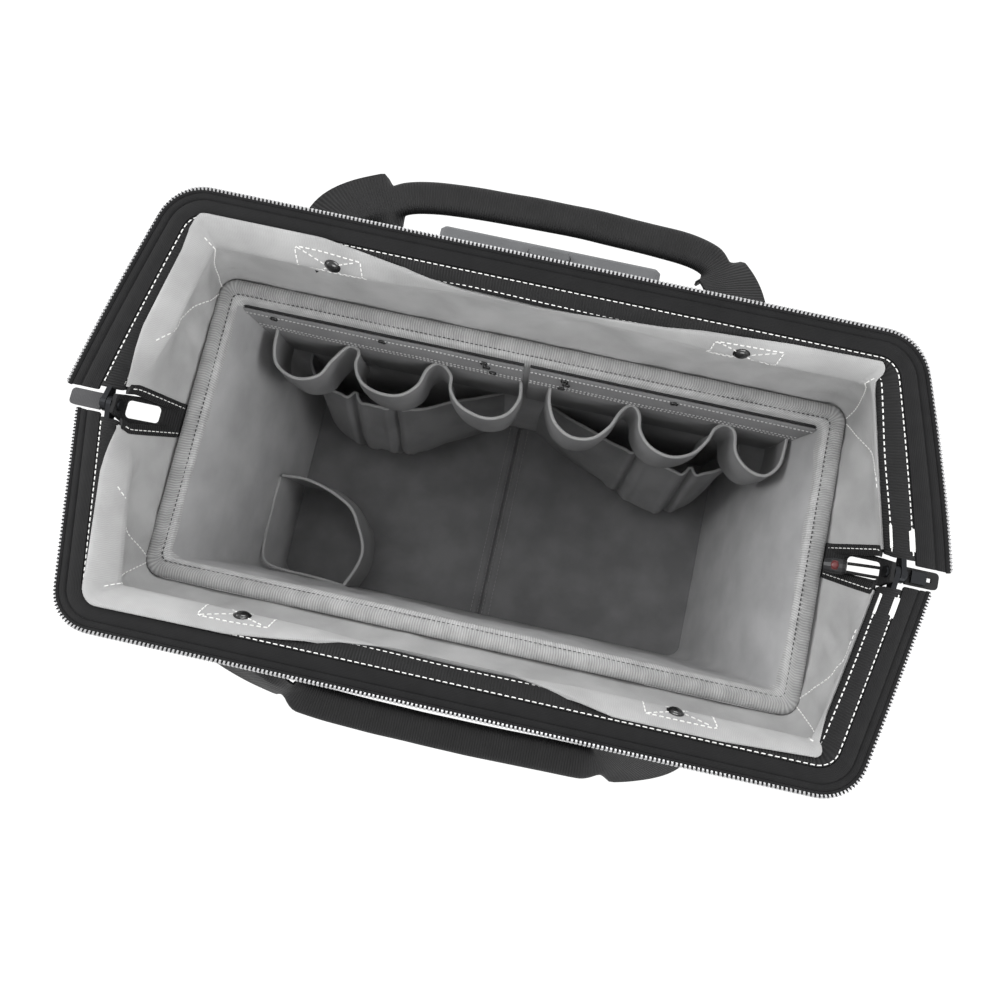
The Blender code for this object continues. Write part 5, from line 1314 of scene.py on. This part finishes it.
def folded(fold, count=10):
    """Half of a strap's section from its middle to its edge, as (across, height). Fold 1 doubles it over."""
    points = []
    turn = math.radians(172) * fold
    for k in range(count + 1):
        run = HANDLE_WEB / 2 * k / count
        flat = min(run, FOLD_HALF)
        across, height = flat, 0.0
        bent = clamp(run - FOLD_HALF, 0, FOLD_RADIUS * turn)
        if bent > 0:
            angle = bent / FOLD_RADIUS
            across += FOLD_RADIUS * math.sin(angle)
            height += FOLD_RADIUS * (1 - math.cos(angle))
        rest = max(run - FOLD_HALF - bent, 0)
        points.append((across + rest * math.cos(turn), height + rest * math.sin(turn)))
    return points


def add_carry_handle(side, looks):
    """A loop of webbing: flat where it is sewn down, folded double and stitched where the hand holds it."""
    turn = Matrix.Rotation(SIDES[side], 4, "Z")
    place = Vector((0, HINGE_Y, HINGE_Z)) + turn.to_3x3() @ Vector((0, ANCHOR_OUT, -ANCHOR_DROP))
    to_row = Matrix.Translation(place) @ turn @ Matrix.Rotation(-HANDLE_DROOP[side], 4, "X")
    # The left end is slacker than the right one. The turned front half has its left end first
    first, last = (SLACK_END, PLAIN_END) if side == "front" else (PLAIN_END, SLACK_END)
    stops = [Vector((x, y, 0)) for x, y in first + GRIP_LINE]
    stops += [Vector((-x, y, 0)) for x, y in reversed(last)]
    path = resample(spline(stops, 8), 2.4 * MM)
    run = lengths(path)
    seed = 3.0 if side == "front" else 6.0
    rows = [[] for _ in range(2 * len(folded(0)) - 1)]
    for index, p in enumerate(path):
        forward = heading(path, index).normalized()
        across = Vector((forward.y, -forward.x, 0))
        reach = min(run[index], run[-1] - run[index])
        # The fold closes over the last stretch before the grip, a little unevenly
        gather = FOLD_FROM[side][index > len(path) / 2]
        uneven = 2 * MM * noise.noise(Vector((p.x * 40, seed, 0)))
        fold = clamp((reach - gather - uneven) / FOLD_LENGTH)
        fold = fold * fold * (3 - 2 * fold)
        # The back handle's feet lie flat where they are sewn, so that it can swing up
        lean = HANDLE_LEAN * (1 - fold) * (1 if index < len(path) / 2 else -1)
        if side == "back":
            lean *= min(reach / FOOT_LENGTH, 1)
        lean -= GRIP_TWIST[side] * fold
        # Round the slack end's tighter turn the inner half curls up
        loose = index < len(path) / 2 if side == "front" else index > len(path) / 2
        curl = 0.55 * math.exp(-(((reach - 0.046) / 0.02) ** 2)) if loose else 0
        section = [(-a, b) for a, b in reversed(folded(max(fold, curl))[1:])] + folded(fold)
        swing = Matrix.Rotation(lean, 3, forward)
        for row, (a, b) in zip(rows, section):
            lift = ruffle((run[index], a, 0), 0.03, 1.6 * MM, seed) * (1 - 0.5 * fold) * min(reach / 0.02, 1)
            row.append(to_row @ (p + swing @ (across * a + UP * (lift + 2.4 * MM * fold - b))))
    obj = cloth(f"carry_handle_{side}_webbing", rows, WEB_THICK)
    dress(obj, looks["webbing"], f"carry_handle_{side}", [f"carry_handle_{side}"])


# The zip's ends


PULL_AXIS = Vector((0.28449, -0.01661, 0.3249))
PULL_DIP = math.radians(28)
PULL_DROP = 0.040
CORD_RADIUS = 1.1 * MM
CORD_HALF_GAP = 3 * MM
SHOULDER = 1.8 * MM


def add_pull(looks):
    """The slider's pull: two cords through the end strap's slit to a black knob with a dark red tip."""
    inward = Vector((-math.cos(PULL_DIP), 0, -math.sin(PULL_DIP)))
    up = Vector((-math.sin(PULL_DIP), 0, math.cos(PULL_DIP)))
    for name, sign in (("front", -1), ("back", 1)):
        side = Vector((0, sign * CORD_HALF_GAP, 0))
        # Out of the slider's loop, round its shoulder and straight in to the knob
        stops = [(0.12, 0), (0.5, 0.2 * MM), (0.86, 0.6 * MM), (1, SHOULDER)]
        for share in (k / 12 for k in range(1, 13)):
            stops.append((1 + 0.12 * math.sin(math.pi * share), SHOULDER + (PULL_DROP - SHOULDER) * share))
        path = resample(spline([PULL_AXIS + side * out + inward * down for out, down in stops], 4), 1 * MM)
        strand = cord(f"zip_pull_cord_{name}", path, CORD_RADIUS, sides=10, normal=up)
        lengths(path)[-1]
        dress(strand, looks["strand"], "zip_pull", ["zip_pull_cord"] if sign > 0 else ())
    knob_low, knob_high = (Vector(corner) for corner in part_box("zip_pull_knob"))
    middle = (knob_low + knob_high) / 2
    tip = dome("zip_pull_tip", middle + up * 4.6 * MM, up, 2.7 * MM, 1.4 * MM)
    dress(tip, looks["accent"], "zip_pull")


TACK_LENGTH = 16 * MM


def add_bar_tacks(side, looks):
    """Dense white bar tacks that hold the sleeve's ends at the right-hand hinge."""
    up = mouth_up(side)
    rows = (("outer", SLEEVE_OUTER + 2.6 * MM, 4.6 * MM), ("inner", SLEEVE_INNER - 2.8 * MM, 1.9 * MM))
    for name, inset, width in rows:
        line = on_mouth(side, inset, BAND_TOP - 0.2 * MM, SLEEVE_START + 1 * MM)
        line = resample(line if side == "back" else line[::-1], 3 * MM)[:11]
        tack = stitches(f"bar_tack_{side}_{name}", [(line, up)], TACK_LENGTH, TACK_LENGTH, width)
        dress(tack, looks["thread"], f"mouth_{side}")


TUBES = ("outer", "stage_1", "stage_2", "stage_3")
# The solids that keep their own form, by the look they wear
SOLID_LOOKS = {
    "strap solid": ["end_strap_left", "end_strap_right", "zip_tail_right"],
    "tab": ["zip_tail_left"],
    "moulding": [
        "base_tray", "rear_chassis", "axle_cap_left", "axle_cap_right", "handle_housing", "handle_bezel",
        "zip_pull_knob",
    ],
    "rubber": ["front_foot_left", "front_foot_right", "tyre_left", "tyre_right"],
    "steel": ["axle"],
    "dark steel": ["frame_wire_front", "frame_wire_back", "hinge_pin_left", "hinge_pin_right", "zip_slider"],
    "hub": ["wheel_hub_left", "wheel_hub_right"],
    "alloy": [f"{stage}_tube_{end}" for stage in TUBES for end in ("left", "right")],
    "grip": ["pull_grip"],
    "hub grey": ["release_button"],
}


def dress_solids(looks):
    """The rigid pieces keep their solids, in their real finishes."""
    for look, nodes in SOLID_LOOKS.items():
        for node in nodes:
            piece = bpy.data.objects[node]
            piece.data.materials.clear()
            piece.data.materials.append(looks[look])


# The stage


def seen(tree):
    """1 for the rays that show the backdrop, straight or in metal, and 0 for those that light the bag."""
    path = add_node(tree, "ShaderNodeLightPath")
    straight = maths(tree, "MAXIMUM", path.outputs["Is Camera Ray"], path.outputs["Is Transmission Ray"])
    return maths(tree, "MAXIMUM", straight, path.outputs["Is Glossy Ray"])


def add_stage():
    """A white sweep under the bag. The camera sees it nearly all as plain white, with a faint shadow left."""
    bpy.ops.mesh.primitive_plane_add(size=6, location=(0, 0, 0))
    floor = bpy.context.object
    floor.name = "stage_floor"
    floor.data.materials.clear()
    material, tree, shader = new_material("white paper sweep", "#f4f4f4", 0.9)
    white = add_node(tree, "ShaderNodeEmission", {"Color": (1, 1, 1, 1), "Strength": 1.06})
    share = maths(tree, "MULTIPLY", seen(tree), 0.85)
    mixed = add_node(tree, "ShaderNodeMixShader", {0: share, 1: shader.outputs[0], 2: white.outputs[0]})
    tree.links.new(mixed.outputs[0], tree.nodes["Material Output"].inputs["Surface"])
    floor.data.materials.append(material)


def add_lights():
    """Soft studio light: a large overhead bank, and fill from the front and the sides."""
    def bank(name, place, aim, size, power):
        light = bpy.data.lights.new(name, "AREA")
        light.shape = "RECTANGLE"
        light.size, light.size_y = size
        light.energy = power
        lamp = bpy.data.objects.new(name, light)
        bpy.context.collection.objects.link(lamp)
        lamp.location = place
        lamp.rotation_euler = (Vector(aim) - Vector(place)).to_track_quat("-Z", "Y").to_euler()

    bank("overhead bank", (-0.5, 0.5, 2.2), (0, 0, 0.2), (1.8, 1.4), 13)
    bank("front fill", (0.4, -2.0, 1.2), (0, 0, 0.25), (1.6, 1.2), 42)
    bank("left fill", (-2.0, 0.2, 1.2), (0, 0, 0.25), (1.4, 1.2), 46)
    bank("right fill", (2.0, 0.0, 1.2), (0, 0, 0.25), (1.4, 1.2), 34)
    bank("back fill", (0.2, 2.0, 1.2), (0, 0, 0.25), (1.6, 1.2), 34)
    world = bpy.data.worlds.new("white room")
    bpy.context.scene.world = world
    world.use_nodes = True
    tree = world.node_tree
    tree.nodes["Background"].inputs["Color"].default_value = (1, 1, 1, 1)
    strength = add_node(tree, "ShaderNodeMapRange", {"Value": seen(tree), "To Min": 0.3, "To Max": 1.0})
    tree.links.new(strength.outputs["Result"], tree.nodes["Background"].inputs["Strength"])


def add_camera():
    """The photographer's camera, nearly overhead and turned a little about the upright."""
    camera = bpy.data.objects.new("camera", bpy.data.cameras.new("camera"))
    bpy.context.collection.objects.link(camera)
    camera.data.sensor_width = SENSOR
    camera.data.lens = CAMERA_LENS
    camera.data.clip_start = 0.02
    turn, rise = CAMERA_TURN, CAMERA_RISE
    back = Vector((math.sin(turn) * math.cos(rise), -math.cos(turn) * math.cos(rise), math.sin(rise)))
    right = Vector((math.cos(turn), math.sin(turn), 0))
    up = back.cross(right)
    place = CAMERA_FROM_RIM + Vector((0, BAG_Y, RIM_Z))
    axes = Matrix((right, up, back)).transposed().to_4x4()
    camera.matrix_world = Matrix.Translation(place) @ axes
    bpy.context.scene.camera = camera


def main():
    """Builds everything round the frame."""
    bpy.context.scene.view_settings.view_transform = "Standard"
    for obj in bpy.context.selected_objects:
        obj.select_set(False)
    looks = make_materials()
    add_stage()
    add_lights()
    add_camera()
    add_shell(looks)
    add_lining(looks)
    add_front_pocket(looks)
    add_binding(looks)
    add_floor(looks)
    for side in SIDES:
        add_sleeve(side, looks)
        add_tape(side, looks)
        add_teeth(side, looks)
        add_slit_bindings(side, add_skirt(side, looks), looks)
        add_carry_handle(side, looks)
        add_bar_tacks(side, looks)
    add_pull(looks)
    for side in LOOPS:
        add_header(side, looks)
        add_loops(side, looks)
        add_pouch(side, looks)
    add_corner_pocket(looks)
    dress_solids(looks)


main()
